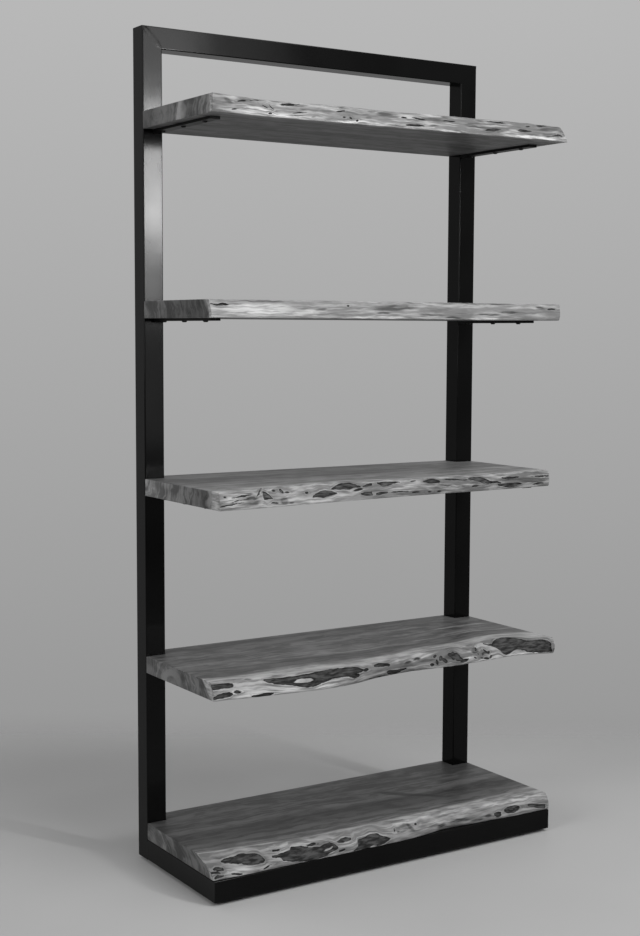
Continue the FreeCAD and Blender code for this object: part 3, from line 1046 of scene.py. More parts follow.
        rough = self.crumbs.at(along, up, log)
        sunk = ease(sunken, *self.sunk_fade)
        push = push * (1.0 - self.sunk_calm * sunk) + lip - sunk * (self.hollow_depth + rough)
        push -= self.stain_depth * stained
        return EdgeRelief(np.minimum(push, self.most_push), flow * MM, sunken, stained, bright)

    def outline(self, columns: np.ndarray, front_x: np.ndarray, front_y: np.ndarray,
                level: Level) -> list[tuple[Optional[tuple[int, int]], int, float, float]]:
        """Go once round the slab at one height, from its front left corner along the live edge.

        Args:
            columns: lines across the slab.
            front_x: x of each station of the edge.
            front_y: y of each station of the edge, at this height.
            level: the height.

        Returns:
            For each point its column and row, where it has them, its station, its x and its y.
        """
        inset, last = level.inset, len(columns) - 1
        left, right = self.outer_spans, last - self.outer_spans
        end, notch = self.half - inset, self.notch_x - inset
        line, rear = self.notch_y - inset, self.rear - inset
        deep, back = len(self.rows) - 1, len(self.rows) + len(self.rear_rows) - 2
        points = []
        for station, (x, y) in enumerate(zip(front_x, front_y)):
            whole = station % self.fine_steps == 0
            key = (station // self.fine_steps, 0) if whole else None
            x = math.copysign(end, x) if station in (0, len(front_x) - 1) else x
            points.append((key, station, x, y))

        def side(column: int, sign: float) -> Iterator[tuple[tuple[int, int], int, float, float]]:
            """Go from the front of one end back to its rear corner.

            Args:
                column: the end's column.
                sign: -1 at the left end and 1 at the right.

            Returns:
                The points, one by one.
            """
            station = column * self.fine_steps
            corner = left if column == 0 else right
            start = front_y[station]
            for row, share in enumerate(self.rows[1:], start=1):
                yield (column, row), station, sign * end, start + share * (line - start)
            for step in range(1, self.outer_spans):
                inner = step if column == 0 else last - step
                yield (inner, deep), inner * self.fine_steps, columns[inner], line
            for row, share in enumerate(self.rear_rows, start=deep):
                yield (corner, row), corner * self.fine_steps, sign * notch, line + share * (rear - line)

        points.extend(side(last, 1.0))
        for column in range(right - 1, left, -1):
            points.append(((column, back), column * self.fine_steps, columns[column], rear))
        points.extend(reversed(list(side(0, -1.0))))
        return points

    def build(self) -> bpy.types.Object:
        """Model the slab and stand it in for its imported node.

        Returns:
            The slab.
        """
        levels, columns = self.levels(), self.columns()
        stations = self.stations(columns)
        front = self.front_lines(stations, levels)
        relief = self.relief(stations, levels)
        softness = 1.0 + np.abs(self.arris_wave.at(stations, 0 * stations, self.finish.log))

        points, owners, rings = [], [], []
        for index, level in enumerate(levels):
            edge = front[:, index] - relief.push[:, index] + level.inset * softness
            ring = self.outline(columns, stations, edge, level)
            rings.append((len(points), ring))
            points.extend((x, y, self.under + level.height) for _, _, x, y in ring)
            owners.extend((station, index) for _, station, _, _ in ring)
        around = len(rings[0][1])
        faces = sides(len(rings), around)
        for index, turned in ((0, True), (len(levels) - 1, False)):
            self.cover(columns, rings[index], index, turned, points, owners, faces)

        piece = new_piece(f"{self.node}_slab", points, faces, self.finish.material())
        self.carry(piece.data, np.array(points), np.array(owners), front, relief, len(stations), around)
        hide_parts(self.node)
        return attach(piece, UNIT)

    def cover(self, columns: np.ndarray, ring: tuple, index: int, turned: bool,
              points: list, owners: list, faces: list) -> None:
        """Close the slab's top or underside with rows that follow the live edge.

        Args:
            columns: lines across the slab.
            ring: number of the outline's first point, and the outline.
            index: which level it is.
            turned: whether the faces look down.
            points: all points so far, added to here.
            owners: station and level of each point, added to here.
            faces: all faces so far, added to here.
        """
        first, outline = ring
        cells = {key: first + step for step, (key, *_) in enumerate(outline) if key is not None}
        height = points[first][2]
        last, deep = len(columns) - 1, len(self.rows) - 1
        left, right = self.outer_spans, last - self.outer_spans
        shares = list(self.rows) + [1.0 + share for share in self.rear_rows[1:]]
        line, rear = points[cells[(left, deep)]][1], points[cells[(left, len(shares) - 1)]][1]
        for column in range(last + 1):
            start = points[cells[(column, 0)]][1]
            for row, share in enumerate(shares):
                behind = row >= deep and not left < column < right
                if (column, row) in cells or behind:
                    continue
                y = start + share * (line - start) if row <= deep else line + (share - 1.0) * (rear - line)
                cells[(column, row)] = len(points)
                points.append((columns[column], y, height))
                owners.append((column * self.fine_steps, index))
        made = []
        for column in range(last):
            edge = [first + column * self.fine_steps + step for step in range(self.fine_steps + 1)]
            made.append((*edge, cells[(column + 1, 1)], cells[(column, 1)]))
            for row in range(1, len(shares) - 1):
                if row >= deep and not left <= column < right:
                    continue
                near = (cells[(column, row)], cells[(column + 1, row)])
                far = (cells[(column + 1, row + 1)], cells[(column, row + 1)])
                made.append(near + far)
        faces.extend(tuple(reversed(face)) if turned else face for face in made)

    def carry(self, mesh: bpy.types.Mesh, points: np.ndarray, owners: np.ndarray, front: np.ndarray,
              relief: EdgeRelief, edge_count: int, around: int) -> None:
        """Write on the mesh what the finish reads: the place in the log, the sapwood and the marks.

        Args:
            mesh: the slab's mesh.
            points: its points.
            owners: station and level of each point.
            front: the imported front's y at each station and level.
            relief: the edge's relief.
            edge_count: how many points of each outline lie on the live edge.
            around: how many points each outline has.
        """
        owned = (owners[:, 0], owners[:, 1])
        base = front[owned]
        depth = np.maximum(points[:, 1] - base, 0.0)
        wave = base - front.mean()
        inward = depth + wave * (1.0 - np.exp(-depth / self.straighten))
        up = points[:, 2] - self.under
        grown = self.sap_growth * np.maximum(points[:, 0] / self.half, 0.0)
        width = self.sap_width[0] + (self.sap_width[1] + grown - self.sap_width[0]) * up / self.thickness
        on_ring = np.arange(len(points)) < around * front.shape[1]
        on_edge = on_ring & (np.arange(len(points)) % around < edge_count)
        values = {"sapwood": inward / width, "rind": on_edge.astype(float)}
        for name, elsewhere in (("bark", CLEAR_OF_BARK), ("stain", 0.0), ("pale", 0.0)):
            values[name] = np.where(on_edge, getattr(relief, name)[owned], elsewhere)
        for name, numbers in values.items():
            held = mesh.attributes.new(name, "FLOAT", "POINT")
            held.data.foreach_set("value", numbers.astype(np.float32))
        height = np.where(on_edge, relief.flow[owned], up)
        grain = np.column_stack([points[:, 0], inward, height]).astype(np.float32)
        mesh.attributes.new("grain", "FLOAT_VECTOR", "POINT").data.foreach_set("vector", grain.ravel())
        near_end = self.half - 2 * self.arris
        ends = [abs(face.normal.x) > self.end_facing and abs(face.center.x) > near_end
                for face in mesh.polygons]
        held = mesh.attributes.new("sawn_end", "FLOAT", "FACE")
        held.data.foreach_set("value", np.array(ends, np.float32))


def shelves() -> list[LiveEdgeShelf]:
    """Set out the five slabs, each with the marks of its own edge.

    Returns:
        The slabs, from the top down.
    """
    bark, island, stain, pale, knot = (kind.at for kind in MarkKind)
    top = LiveEdgeShelf(
        "top_shelf",
        WoodFinish(
            "top_shelf_wood", 11.0,
            zones=((15, 104), (60, 92), (120, 100), (200, 84), (280, 96), (400, 86)),
            pith=(0.27, 0.022), film=106.0, film_share=(0.35, 1.0), scab_share=(0.5, 0.8),
            sap=(104.0, 168.0), bright=206.0,
            end_zones=(
                (20, 96), (60, 84), (100, 76), (128, 82), (150, 124), (176, 84), (240, 84), (300, 66),
                (390, 64))),
        sap_width=(0.01, 0.014), wane=(5.0 * MM, 1.2 * MM),
        marks=[
            *bark(
                (-401, 31, 16, 1.4, 12), (-364, 35.3, 21, 1.3, 5), (-280, 33, 22, 3.0, 7),
                (-346, 22, 6, 1.3, -31), (-330, 23, 7, 1.6, -58), (-337, 7.4, 4, 2.3, 5),
                (-425, 10.3, 10, 1.2, 12), (-262, 15.6, 14, 1.6, 8), (-157, 27, 12, 1.8, 9),
                (-149, 13.7, 5, 2.1, 13), (-133, 13.4, 3.5, 2.3, -18), (-117, 8.4, 4, 2.0, 28),
                (17, 26, 9, 1.9, 3), (53, 26, 16, 1.8, -5), (36, 9, 22, 2.8, 2), (135, 25.7, 22, 1.9, 2),
                (273, 34, 32, 2.1, 1), (258, 13.7, 24, 2.9, 6), (354, 18.4, 19, 3.0, 1),
                (369, 30.6, 8, 2.1, 12), (414, 36, 16, 2.0, -2), (451, 13.7, 24, 1.6, 9),
                (468, 16, 8, 2.6, -16)),
            *stain(
                (-442, 26, 12, 6, -21), (-411, 18, 18, 2.0, 1), (-189, 7.7, 13, 2.2, 5),
                (-151, 36, 9, 1.6, 5), (-68, 34, 14, 2.4, 5), (-36, 30, 22, 4.4, 7),
                (-82, 18.6, 10, 2.8, 5), (98, 27, 28, 2.8, -2), (80, 10, 24, 2.4, 4),
                (-2, 4.6, 18, 1.8, 2), (234, 34, 20, 2.6, 4), (230, 17.5, 52, 2.8, -1),
                (437, 28.5, 40, 4.4, 6), (463, 35, 17, 3.0, 5), (-272, 7.8, 21, 1.4, 4),
                (-230, 8, 7, 1.8, 6), (-251, 23, 9, 1.4, 4)),
            *pale(
                (-330, 6, 150, 6), (-370, 14, 40, 6), (-110, 5, 90, 5), (160, 3, 120, 3),
                (380, 5, 100, 4))])
    upper = LiveEdgeShelf(
        "upper_shelf",
        WoodFinish(
            "upper_shelf_wood", 23.0,
            zones=((16, 104), (60, 90), (120, 98), (220, 82), (300, 92), (400, 84)),
            pith=(0.36, -0.006), film=110.0, film_share=(0.2, 0.85), scab_share=(0.05, 0.25),
            sap=(122.0, 166.0), bright=206.0,
            end_zones=((10, 98), (30, 70), (60, 58), (160, 64), (220, 78), (250, 84), (390, 84))),
        sap_width=(0.01, 0.016), wane=(1.6 * MM, 0.4 * MM),
        marks=[
            *stain(
                (-347, 37, 60, 2.2), (-208, 20, 16, 2.8, 8), (-12, 25.6, 64, 7.5, 3),
                (-41, 13.8, 22, 2.2), (90, 11, 38, 2.0, -3), (160, 4.8, 26, 2.2, -1),
                (325, 18.6, 32, 3.2, 1), (262, 11.6, 40, 2.2), (423, 29, 14, 4.2, -10),
                (247, 38, 120, 1.6)),
            *bark(
                (-470, 28.6, 9, 1.8, -1), (-452, 29, 14, 2.4, 1), (-133, 29, 3.5, 1.8),
                (457, 27.6, 11, 2.2, 2)),
            *pale((-370, 18, 110, 16), (-250, 10, 70, 10), (-60, 4, 200, 3), (200, 3, 150, 3))])
    middle = LiveEdgeShelf(
        "middle_shelf",
        WoodFinish(
            "middle_shelf_wood", 37.0,
            zones=((24, 106), (110, 103), (150, 93), (185, 80), (240, 78), (290, 85), (400, 85)),
            pith=(0.34, 0.05), sap=(112.0, 170.0), bright=184.0, film_share=(0.35, 0.95),
            scab_share=(0.25, 0.6), right_tone_and_light=1.3,
            end_zones=(
                (24, 104), (34, 64), (60, 76), (110, 86), (180, 99), (230, 105), (280, 124), (390, 120))),
        sap_width=(0.028, 0.022), facets=((-327, 48), (-390, 24)),
        hollows=(
            hollow(
                (-229, 12, 13.5), (-217, 12, 18.5), (-199, 11, 24), (-183, 12, 24), (-167, 15.5, 22.5),
                (-153, 17, 18.5)),
            hollow(
                (-163, 25, 27), (-148, 24.5, 32.5), (-134, 24, 36), (-117, 23.5, 36.5), (-106, 26, 36),
                (-92, 27, 33.5), (-83, 27, 29)),
            hollow((-78, 25.5, 28), (-65, 26, 31.5), (-48, 30, 33.5)),
            hollow(
                (-37, 31, 34), (-26, 26.5, 35.5), (-18, 26, 35.5), (-2, 28.5, 35.5), (12, 32, 35),
                (23, 33, 34)),
            hollow((84, 32, 33.5), (99, 29, 36), (116, 27, 37), (134, 27.5, 31)),
            hollow(
                (219, 31, 33.5), (232, 27.5, 34.5), (251, 22.5, 34), (269, 19, 31), (286, 17.5, 24),
                (324, 15.5, 18.5)),
            hollow((313, 10.5, 13), (333, 7, 13.5), (353, 4.5, 14), (373, 6, 14), (392, 9.5, 12)),
            hollow((327, 27.5, 30), (347, 24.5, 30.5), (367, 26, 30), (383, 28, 29.5)),
            hollow((-91, 11, 13.5), (-79, 8, 15.5), (-60, 8.5, 16)),
            hollow((-51, 8, 11), (-37, 7, 14), (-19, 11.5, 14.5)),
            hollow((-366, 17, 19), (-360, 17, 34), (-354, 18, 33), (-338, 17, 19))),
        marks=[
            *bark(
                (-92, 22, 14, 2.2, 4), (16, 12, 23, 1.6), (62, 9, 14, 2.2), (240, 14, 12, 2.6),
                (452, 26.4, 28, 2.4, -1), (446, 8.4, 18, 2.0, 4), (-328, 33, 6, 2.4), (-306, 31, 5, 5),
                (-294, 28, 7, 2), (-237, 23, 5, 2.6), (182, 31.8, 34, 1.6, -5), (104, 7, 6, 1.6),
                (134, 7, 6, 1.6), (58, 35, 9, 1.2), (-467, 30, 6, 1.6), (-420, 28, 28, 1.2, 4),
                (-432, 20, 20, 1.1, 6), (-456, 12.5, 28, 1.1, 5), (-369, 33, 13, 1.6, 34),
                (-338, 9, 9, 1.4)),
            *stain(
                (-400, 31, 12, 2.4, 6), (-395, 18, 17, 11), (-310, 12, 11, 8), (-292, 6, 8, 2),
                (162, 18.5, 36, 1.6, -8), (-50, 18, 40, 3), (399, 21.5, 80, 4.2, -2),
                (432, 14.3, 47, 2.8, -2), (270, 17.6, 48, 3.0, -4), (194, 17.8, 17, 2.2, -11)),
            *pale(
                (-376, 11, 9, 4), (-349, 31, 2.6, 9), (-367, 28, 2.2, 11), (380, 38, 110, 2.4),
                (120, 38.5, 120, 1.6), (-450, 20, 34, 14), (-335, 35, 14, 4), (-220, 5, 50, 4))])
    lower = LiveEdgeShelf(
        "lower_shelf",
        WoodFinish(
            "lower_shelf_wood", 53.0,
            zones=(
                (30, 112), (50, 94), (68, 79), (110, 77), (135, 103), (190, 88), (230, 84), (272, 93),
                (288, 80), (400, 82)),
            pith=(0.2, -0.02), film_share=(0.15, 1.0), scab_share=(0.1, 0.6), sap=(122.0, 170.0),
            bright=204.0, bark=(24.0, 72.0),
            figures=(
                Figure(310, 222, 260, 10, 1, 1.8), Figure(-60, 84, 300, 14, 0, 0.8),
                Figure(60, 190, 200, 22, 3, 0.82), Figure(255, 168, 75, 22, 2, 0.74)),
            end_zones=(
                (20, 86), (60, 86), (100, 96), (150, 84), (220, 97), (280, 105), (310, 82), (390, 84))),
        sap_width=(0.016, 0.042), sap_growth=0.03, wane=(2.4 * MM, 3.0 * MM),
        hollows=(
            hollow((-490, 26, 36), (-469, 24.5, 35.5), (-445, 24.5, 35.5), (-432, 26, 34.5)),
            hollow((-487, 5, 8.5), (-473, 5, 14.5), (-459, 6.5, 17), (-446, 8.5, 17.5), (-439, 12, 15.5)),
            hollow((-396, 3, 5), (-382, 1.5, 6), (-366, 0, 8), (-352, 0, 8), (-342, 3, 6.5)),
            hollow(
                (-360, 31.5, 35), (-350, 28, 35), (-334, 23.5, 35.5), (-316, 20.5, 35.5),
                (-296, 18, 35.5), (-275, 12.5, 35.5), (-244, 9.5, 36), (-225, 13, 38), (-191, 20, 39),
                (-153, 20.5, 38.5), (-134, 17, 38.5), (-122, 24, 37.5), (-109, 24.5, 33.5),
                (-101, 27, 30.5)),
            hollow((-142, 17.5, 26.5), (-131, 14, 24.5), (-115, 16, 22.5)),
            hollow((-69, 32.5, 37), (-56, 29, 38), (-40, 29, 36.5), (-21, 28, 32)),
            hollow((-28, 11.5, 16), (-12, 2, 15.5), (7, 2.5, 12.5), (37, 10.5, 13.5)),
            hollow(
                (300, 34.5, 37), (314, 29, 31.5), (327, 26.5, 31), (334, 22.5, 35), (344, 10, 38),
                (354, 5.5, 39.5), (373, 10, 40), (391, 14, 39.5), (403, 12.5, 38.5), (410, 7, 36),
                (426, 5, 32.5), (440, 4.5, 32.5), (461, 4.5, 35.5), (471, 4, 34), (477, 5.5, 27))),
        marks=[
            *bark(
                (-426, 16.5, 9, 3.6), (-93, 28, 9, 4), (-40, 4, 36, 1.4, -2), (60, 1.5, 36, 1.2),
                (114, 10.5, 6, 4), (127, 28, 5, 3, 20), (130, 15, 4, 6.5, 12), (144, 22, 7, 5, 30),
                (153, 17, 7, 5, -35), (184, 23, 10, 8, 25), (194, 20, 9, 9, -20), (176, 26, 8, 4),
                (212, 10, 13, 3.6, 6), (203, 14, 8, 4, -30), (262, 30, 5, 3, 40), (290, 22, 6, 3, -35),
                (299, 17, 5, 2.4, 20), (270, 9, 6, 1.4, -12), (286, 5.5, 9, 2), (303, 8, 6, 2.6, 25),
                (276, 15, 4, 1.2, 30), (248, 12, 4, 1.2, -25), (262, 18, 3, 1.4)),
            *island((-264, 24, 26, 4.4), (401, 7, 14, 6)),
            *stain(
                (41, 26, 13, 4), (71, 29, 12, 4.4), (100, 22, 26, 2.6), (170, 23, 16, 6),
                (256, 27, 13, 7), (284, 19, 12, 5), (228, 31, 14, 2), (-392, 38.5, 10, 1.6)),
            *pale(
                (-330, 8, 160, 8), (-420, 12, 40, 10), (-240, 8, 70, 6), (410, 3, 60, 3),
                (240, 15, 30, 4))])
    base = LiveEdgeShelf(
        "base_shelf",
        WoodFinish(
            "base_shelf_wood", 71.0,
            zones=((20, 98), (50, 91), (75, 71), (110, 55), (150, 50), (185, 72), (225, 67), (330, 73)),
            pith=(0.3, -0.03), film_share=(0.3, 0.5), scab_share=(0.15, 0.2), sap=(104.0, 166.0),
            bright=184.0, bark=(26.0, 76.0), right_tone_and_light=1.25,
            figures=(
                Figure(175, 175, 125, 21, -44, 0.28), Figure(270, 225, 70, 30, -20, 1.5),
                Figure(-90, 60, 60, 22, 10, 1.35), Figure(-250, 130, 120, 20, 6, 0.8),
                Figure(60, 110, 90, 16, -6, 0.75)),
            end_zones=((10, 92), (60, 83), (140, 79), (200, 83), (240, 114), (262, 88), (390, 94))),
        sap_width=(0.012, 0.018), sap_growth=0.03, wane=(3.0 * MM, 1.0 * MM),
        hollows=(
            hollow(
                (-446, 28, 29.5), (-438, 25.5, 31.5), (-421, 23, 32.5), (-407, 21, 33),
                (-388, 17.5, 33.5), (-365, 16, 32.5), (-350, 16, 29), (-345, 19.5, 24.5)),
            hollow((-320, 30, 32), (-309, 29.5, 33), (-300, 31, 33)),
            hollow(
                (-327, 21.5, 24), (-309, 20.5, 25.5), (-304, 12, 26.5), (-289, 9.5, 28), (-277, 7, 28),
                (-271, 6, 33), (-248, 1.5, 32), (-220, 0.5, 27), (-201, 3, 25.5), (-186, 6.5, 28.5),
                (-172, 10, 29), (-163, 12.5, 25.5), (-157, 16, 19)),
            hollow((-153, 25, 27), (-138, 24, 30), (-124, 24, 30.5), (-113, 27, 29.5)),
            hollow((-157, 8, 10), (-147, 6, 11.5), (-138, 8.5, 12)),
            hollow(
                (-115, 0, 1.5), (-101, 0, 12), (-96, 0, 21.5), (-73, 0, 24), (-57, 0, 27.5),
                (-39, 0, 26.5), (-27, 3.5, 19), (-6, 10.5, 12.5)),
            hollow((311, 10.5, 17.5), (321, 4.5, 18.5), (332, 7, 17)),
            hollow((416, 18.5, 22), (429, 12.5, 21.5), (451, 8.5, 18), (472, 5.5, 14.5)),
            hollow((-474, 18.5, 20.5), (-467, 17, 22.5), (-457, 16, 22), (-449, 15, 19)),
            hollow((-481, 13, 16.5), (-471, 11.5, 16), (-460, 11.5, 13.5)),
            hollow((-477, 2.5, 6), (-468, 4, 9), (-455, 4.5, 7.5)),
            hollow((-436, 6, 8), (-424, 2.5, 7.5), (-410, 2.5, 4))),
        marks=[
            *bark(
                (-345, 7, 11, 1.6, 14), (-217, 31, 14, 2), (75, 29, 4, 2.2), (9, 27, 5, 2.0, 50),
                (21, 22, 9, 1.3)),
            *island((-318, 18, 12, 3), (-184, 17.5, 13, 2.4, 10), (-58, 2, 12, 2.6)),
            *knot((366, 17.5, 24, 8)),
            *stain(
                (213, 15.5, 40, 4.6), (257, 8, 20, 3.6, 4), (292, 13, 11, 4.4), (57, 24, 11, 5.4, -50),
                (150, 12, 14, 4), (366, 17.5, 15, 4), (18, 27, 10, 3)),
            *pale(
                (-400, 12, 60, 4), (-250, 36, 90, 3), (-140, 3, 60, 3), (380, 36, 110, 4),
                (100, 36, 120, 3))])
    return [top, upper, middle, lower, base]


class WeldKind(Enum):
    """How a weld on the frame is finished."""

    FILLET = "rippled bead in a corner"
    GROUND = "seam ground nearly flush"


@dataclass
class Weld:
    """One painted weld along a straight line on the frame."""

    name: str
    kind: WeldKind
    start: Vector
    end: Vector
    first: Vector
    second: Vector
    size: float
    pitch: float = 1.4 * MM
    least_steps: int = 6
    half_arc: int = 5
    bead_power: float = 1.4
    bead_root: float = -0.1
    bead_end: float = 0.35
    taper_steps: float = 3.0
    wave_turn: float = 2.2
    wave_height: float = 0.10
    lump_height: float = 0.12
    lump_cells: float = 210.0
    ground_root: float = -0.15
    ground_height: float = 0.03
    ground_lump: float = 0.15
    ground_end: float = 0.6 * MM
    ground_flare: float = 0.8
    grind_level: float = 0.75
    grind_swing: float = 0.9
    grind_cells: float = 70.0

    def section(self) -> list[Pair]:
        """Work out the outline across the weld.

        Returns:
            Its points, as shares of the weld's two directions.
        """
        if self.kind is WeldKind.FILLET:
            root, power = self.bead_root, self.bead_power
            turns = [math.radians(90.0 * step / self.half_arc) for step in range(self.half_arc + 1)]
            arc = [(math.cos(turn) ** power, math.sin(turn) ** power) for turn in turns]
            return [(root, root), (1.0, root)] + arc + [(root, 1.0)]
        across = [step / self.half_arc - 1.0 for step in range(2 * self.half_arc + 1)]
        crown = [(place, (1.0 - place * place) ** 2) for place in across]
        return crown + [(1.0, self.ground_root), (-1.0, self.ground_root)]

    def build(self, material: bpy.types.Material) -> bpy.types.Object:
        """Model the weld.

        Args:
            material: the frame's paint.

        Returns:
            The weld.
        """
        run = self.end - self.start
        count = max(self.least_steps, round(run.length / self.pitch))
        outline = self.section()
        points = []
        for step in range(count + 1):
            centre = self.start + run * (step / count)
            lump = noise.noise(centre * self.lump_cells)
            from_end = min(step, count - step)
            if self.kind is WeldKind.FILLET:
                taper = min(1.0, self.bead_end + (1.0 - self.bead_end) * from_end / self.taper_steps)
                wave = self.wave_height * math.sin(self.wave_turn * step)
                high = wide = self.size * (taper * (1.0 + wave + self.lump_height * lump))
            else:
                most = self.ground_end + self.ground_flare * (from_end * run.length / count)
                wide = min(self.size * (1.0 + self.ground_lump * lump), most)
                grind = self.grind_level + self.grind_swing * noise.noise(centre * self.grind_cells)
                high = self.ground_height * wide * grind
            points.extend(centre + self.first * (a * wide) + self.second * (b * high) for a, b in outline)
        faces = sides(count + 1, len(outline)) + caps(count + 1, len(outline))
        if self.first.cross(self.second).dot(run) < 0:
            faces = [tuple(reversed(face)) for face in faces]
        piece = new_piece(self.name, points, faces, material)
        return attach(piece, UNIT)


@dataclass
class TubeFrame:
    """The welded frame: packed tubes, flat bars and tabs with their paint, and the welds between them."""

    paint: PaintFinish = PaintFinish()
    bar_paint: PaintFinish = PaintFinish("black_bar_coat", roughness=(0.38, 0.46))
    seam_width: float = 9.0 * MM
    bead: float = 3.0 * MM
    edge_margin: float = 1.5 * MM
    base_margin: float = 4.0 * MM
    base_seam_share: float = 0.6
    bars: tuple[str, ...] = tuple(
        f"{shelf}_shelf_{side}_bracket"
        for shelf in ("top", "upper", "middle", "lower") for side in ("left", "right"))
    tabs: tuple[str, ...] = tuple(
        f"base_{side}_{end}_tab" for side in ("left", "right") for end in ("rear", "front"))
    tubes: tuple[str, ...] = (
        "left_upright", "right_upright", "top_rail", "base_left_rail", "base_right_rail", "base_front_rail",
        "base_rear_rail")

    def dress(self) -> list[bpy.types.Object]:
        """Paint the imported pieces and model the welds.

        Returns:
            The painted pieces and the welds.
        """
        smooth, dull = self.paint.material(), self.bar_paint.material()
        painted = [dressed(name, smooth) for name in self.tubes]
        painted += [dressed(name, dull) for name in self.bars + self.tabs]
        return painted + [weld.build(smooth) for weld in self.welds()]

    def welds(self) -> list[Weld]:
        """Find every weld that a person can see once the unit stands.

        Returns:
            The welds.
        """
        found = []
        front, down = Vector((0, -1, 0)), Vector((0, 0, -1))
        for name in self.bars:
            low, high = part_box(name)
            start, end = Vector((low.x, high.y, low.z)), Vector((high.x, high.y, low.z))
            found.append(Weld(f"{name}_weld", WeldKind.FILLET, start, end, front, down, self.bead))
        for name in self.tabs:
            low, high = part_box(name)
            side = 1.0 if low.x < 0 else -1.0
            x = low.x if side > 0 else high.x
            start, end = Vector((x, low.y, low.z)), Vector((x, high.y, low.z))
            inward = Vector((side, 0, 0))
            found.append(Weld(f"{name}_weld", WeldKind.FILLET, start, end, inward, down, self.bead))
        for side, name in ((-1.0, "left"), (1.0, "right")):
            found.extend(self.corner_seams(side, name))
        return found

    def corner_seams(self, side: float, name: str) -> Iterator[Weld]:
        """Ground seams of one upper corner and one base corner of the frame.

        Args:
            side: -1 for the left corner and 1 for the right.
            name: the side's name.

        Returns:
            The seams, one by one.
        """
        low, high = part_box(f"{name}_upright")
        rail_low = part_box("top_rail")[0]
        outer = low.x if side < 0 else high.x
        inner = high.x if side < 0 else low.x
        diagonal = Vector((side, 0, 1)).normalized()
        across = Vector((-diagonal.z, 0, diagonal.x))
        margin = diagonal * self.edge_margin
        for face, y, out in (("front", low.y, -1.0), ("rear", high.y, 1.0)):
            start, end = Vector((inner, y, rail_low.z)) + margin, Vector((outer, y, high.z)) - margin
            yield Weld(f"{name}_{face}_mitre_seam", WeldKind.GROUND, start, end, across,
                       Vector((0, out, 0)), self.seam_width)
        base_low, base_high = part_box(f"base_{name}_rail")
        start = Vector((outer, base_high.y, base_low.z + self.base_margin))
        end = Vector((outer, base_high.y, base_high.z - self.base_margin))
        yield Weld(f"{name}_base_seam", WeldKind.GROUND, start, end, Vector((0, 1, 0)),
                   Vector((side, 0, 0)), self.base_seam_share * self.seam_width)


@dataclass
class LevellingFeet:
    """Screws, plugs, nuts and levelling feet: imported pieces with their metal, and threaded stems."""

    corners: tuple[str, ...] = ("rear_left", "rear_right", "front_left", "front_right")
    pitch: float = 1.25 * MM
    thread_depth: float = 0.65 * MM
    flank_slope: float = 2.4
    crest: float = 0.7
    segments: int = 24
    rows_per_turn: int = 6
    chamfer: float = 1.0 * MM

    def dress(self) -> list[bpy.types.Object]:
        """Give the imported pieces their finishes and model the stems.

        Returns:
            All of these pieces.
        """
        steel = SteelFinish("zinc_plate", (150.0, 190.0)).material()
        black = SteelFinish("black_oxide", (30.0, 48.0)).material()
        nylon = NylonFinish().material()
        threaded = [f"{side}_{part}" for side in ("left", "right") for part in ("foot_plug", "weld_nut")]
        screws = [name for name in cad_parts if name.endswith("_screws")]
        pads = [f"{corner}_glide_pad" for corner in self.corners]
        pieces = []
        for material, names in ((steel, threaded), (black, screws), (nylon, pads)):
            pieces.extend(dressed(name, material) for name in names)
        return pieces + [self.stem(corner, steel) for corner in self.corners]

    def stem(self, corner: str, material: bpy.types.Material) -> bpy.types.Object:
        """Model a threaded stem inside its packed rod.

        Args:
            corner: which foot it belongs to.
            material: its metal.

        Returns:
            The stem.
        """
        node = f"{corner}_glide_stem"
        low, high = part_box(node)
        centre, radius = (low + high) / 2, (high.x - low.x) / 2
        length = high.z - low.z
        rows = round(length / self.pitch * self.rows_per_turn)
        points = []
        for row in range(rows + 1):
            z = length * row / rows
            bevel = max(0.0, self.chamfer - min(z, length - z))
            for step in range(self.segments):
                share = step / self.segments
                turn = (z / self.pitch - share) % 1.0
                sunk = self.flank_slope * abs(2.0 * turn - 1.0) - self.crest
                groove = self.thread_depth * min(1.0, max(0.0, sunk))
                reach = radius - max(groove, bevel)
                angle = 2 * math.pi * share
                x, y = centre.x + reach * math.cos(angle), centre.y + reach * math.sin(angle)
                points.append((x, y, low.z + z))
        faces = sides(rows + 1, self.segments) + caps(rows + 1, self.segments)
        piece = new_piece(f"{node}_thread", points, faces, material)
        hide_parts(node)
        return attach(piece, f"{corner}_stem")


@dataclass
class PhotoCamera:
    """The camera at the photograph's place, in metres and degrees."""

    place: Triple = (-2.0435, -3.0265, 1.2660)
    heading: float = 32.732
    dip: float = 5.18
    roll: float = 0.216
    focal_pixels: float = 1518.2
    long_side_pixels: float = 936.0
    sensor: float = 36.0

    def build(self) -> bpy.types.Object:
        """Set the scene's camera.

        Returns:
            The camera.
        """
        heading, dip, roll = (math.radians(angle) for angle in (self.heading, self.dip, self.roll))
        level = math.cos(dip)
        ahead = Vector((math.sin(heading) * level, math.cos(heading) * level, -math.sin(dip)))
        right = Vector((math.cos(heading), -math.sin(heading), 0.0))
        top = right.cross(ahead)
        cosine, sine = math.cos(roll), math.sin(roll)
        right, top = right * cosine + top * sine, top * cosine - right * sine
        data = bpy.data.cameras.new("photo_camera")
        data.sensor_width = self.sensor
        data.lens = self.focal_pixels * self.sensor / self.long_side_pixels
        camera = bpy.data.objects.new("photo_camera", data)
        turned = Matrix((right, top, -ahead)).transposed().to_4x4()
        camera.matrix_world = Matrix.Translation(self.place) @ turned
        bpy.context.scene.collection.objects.link(camera)
        bpy.context.scene.camera = camera
        return camera


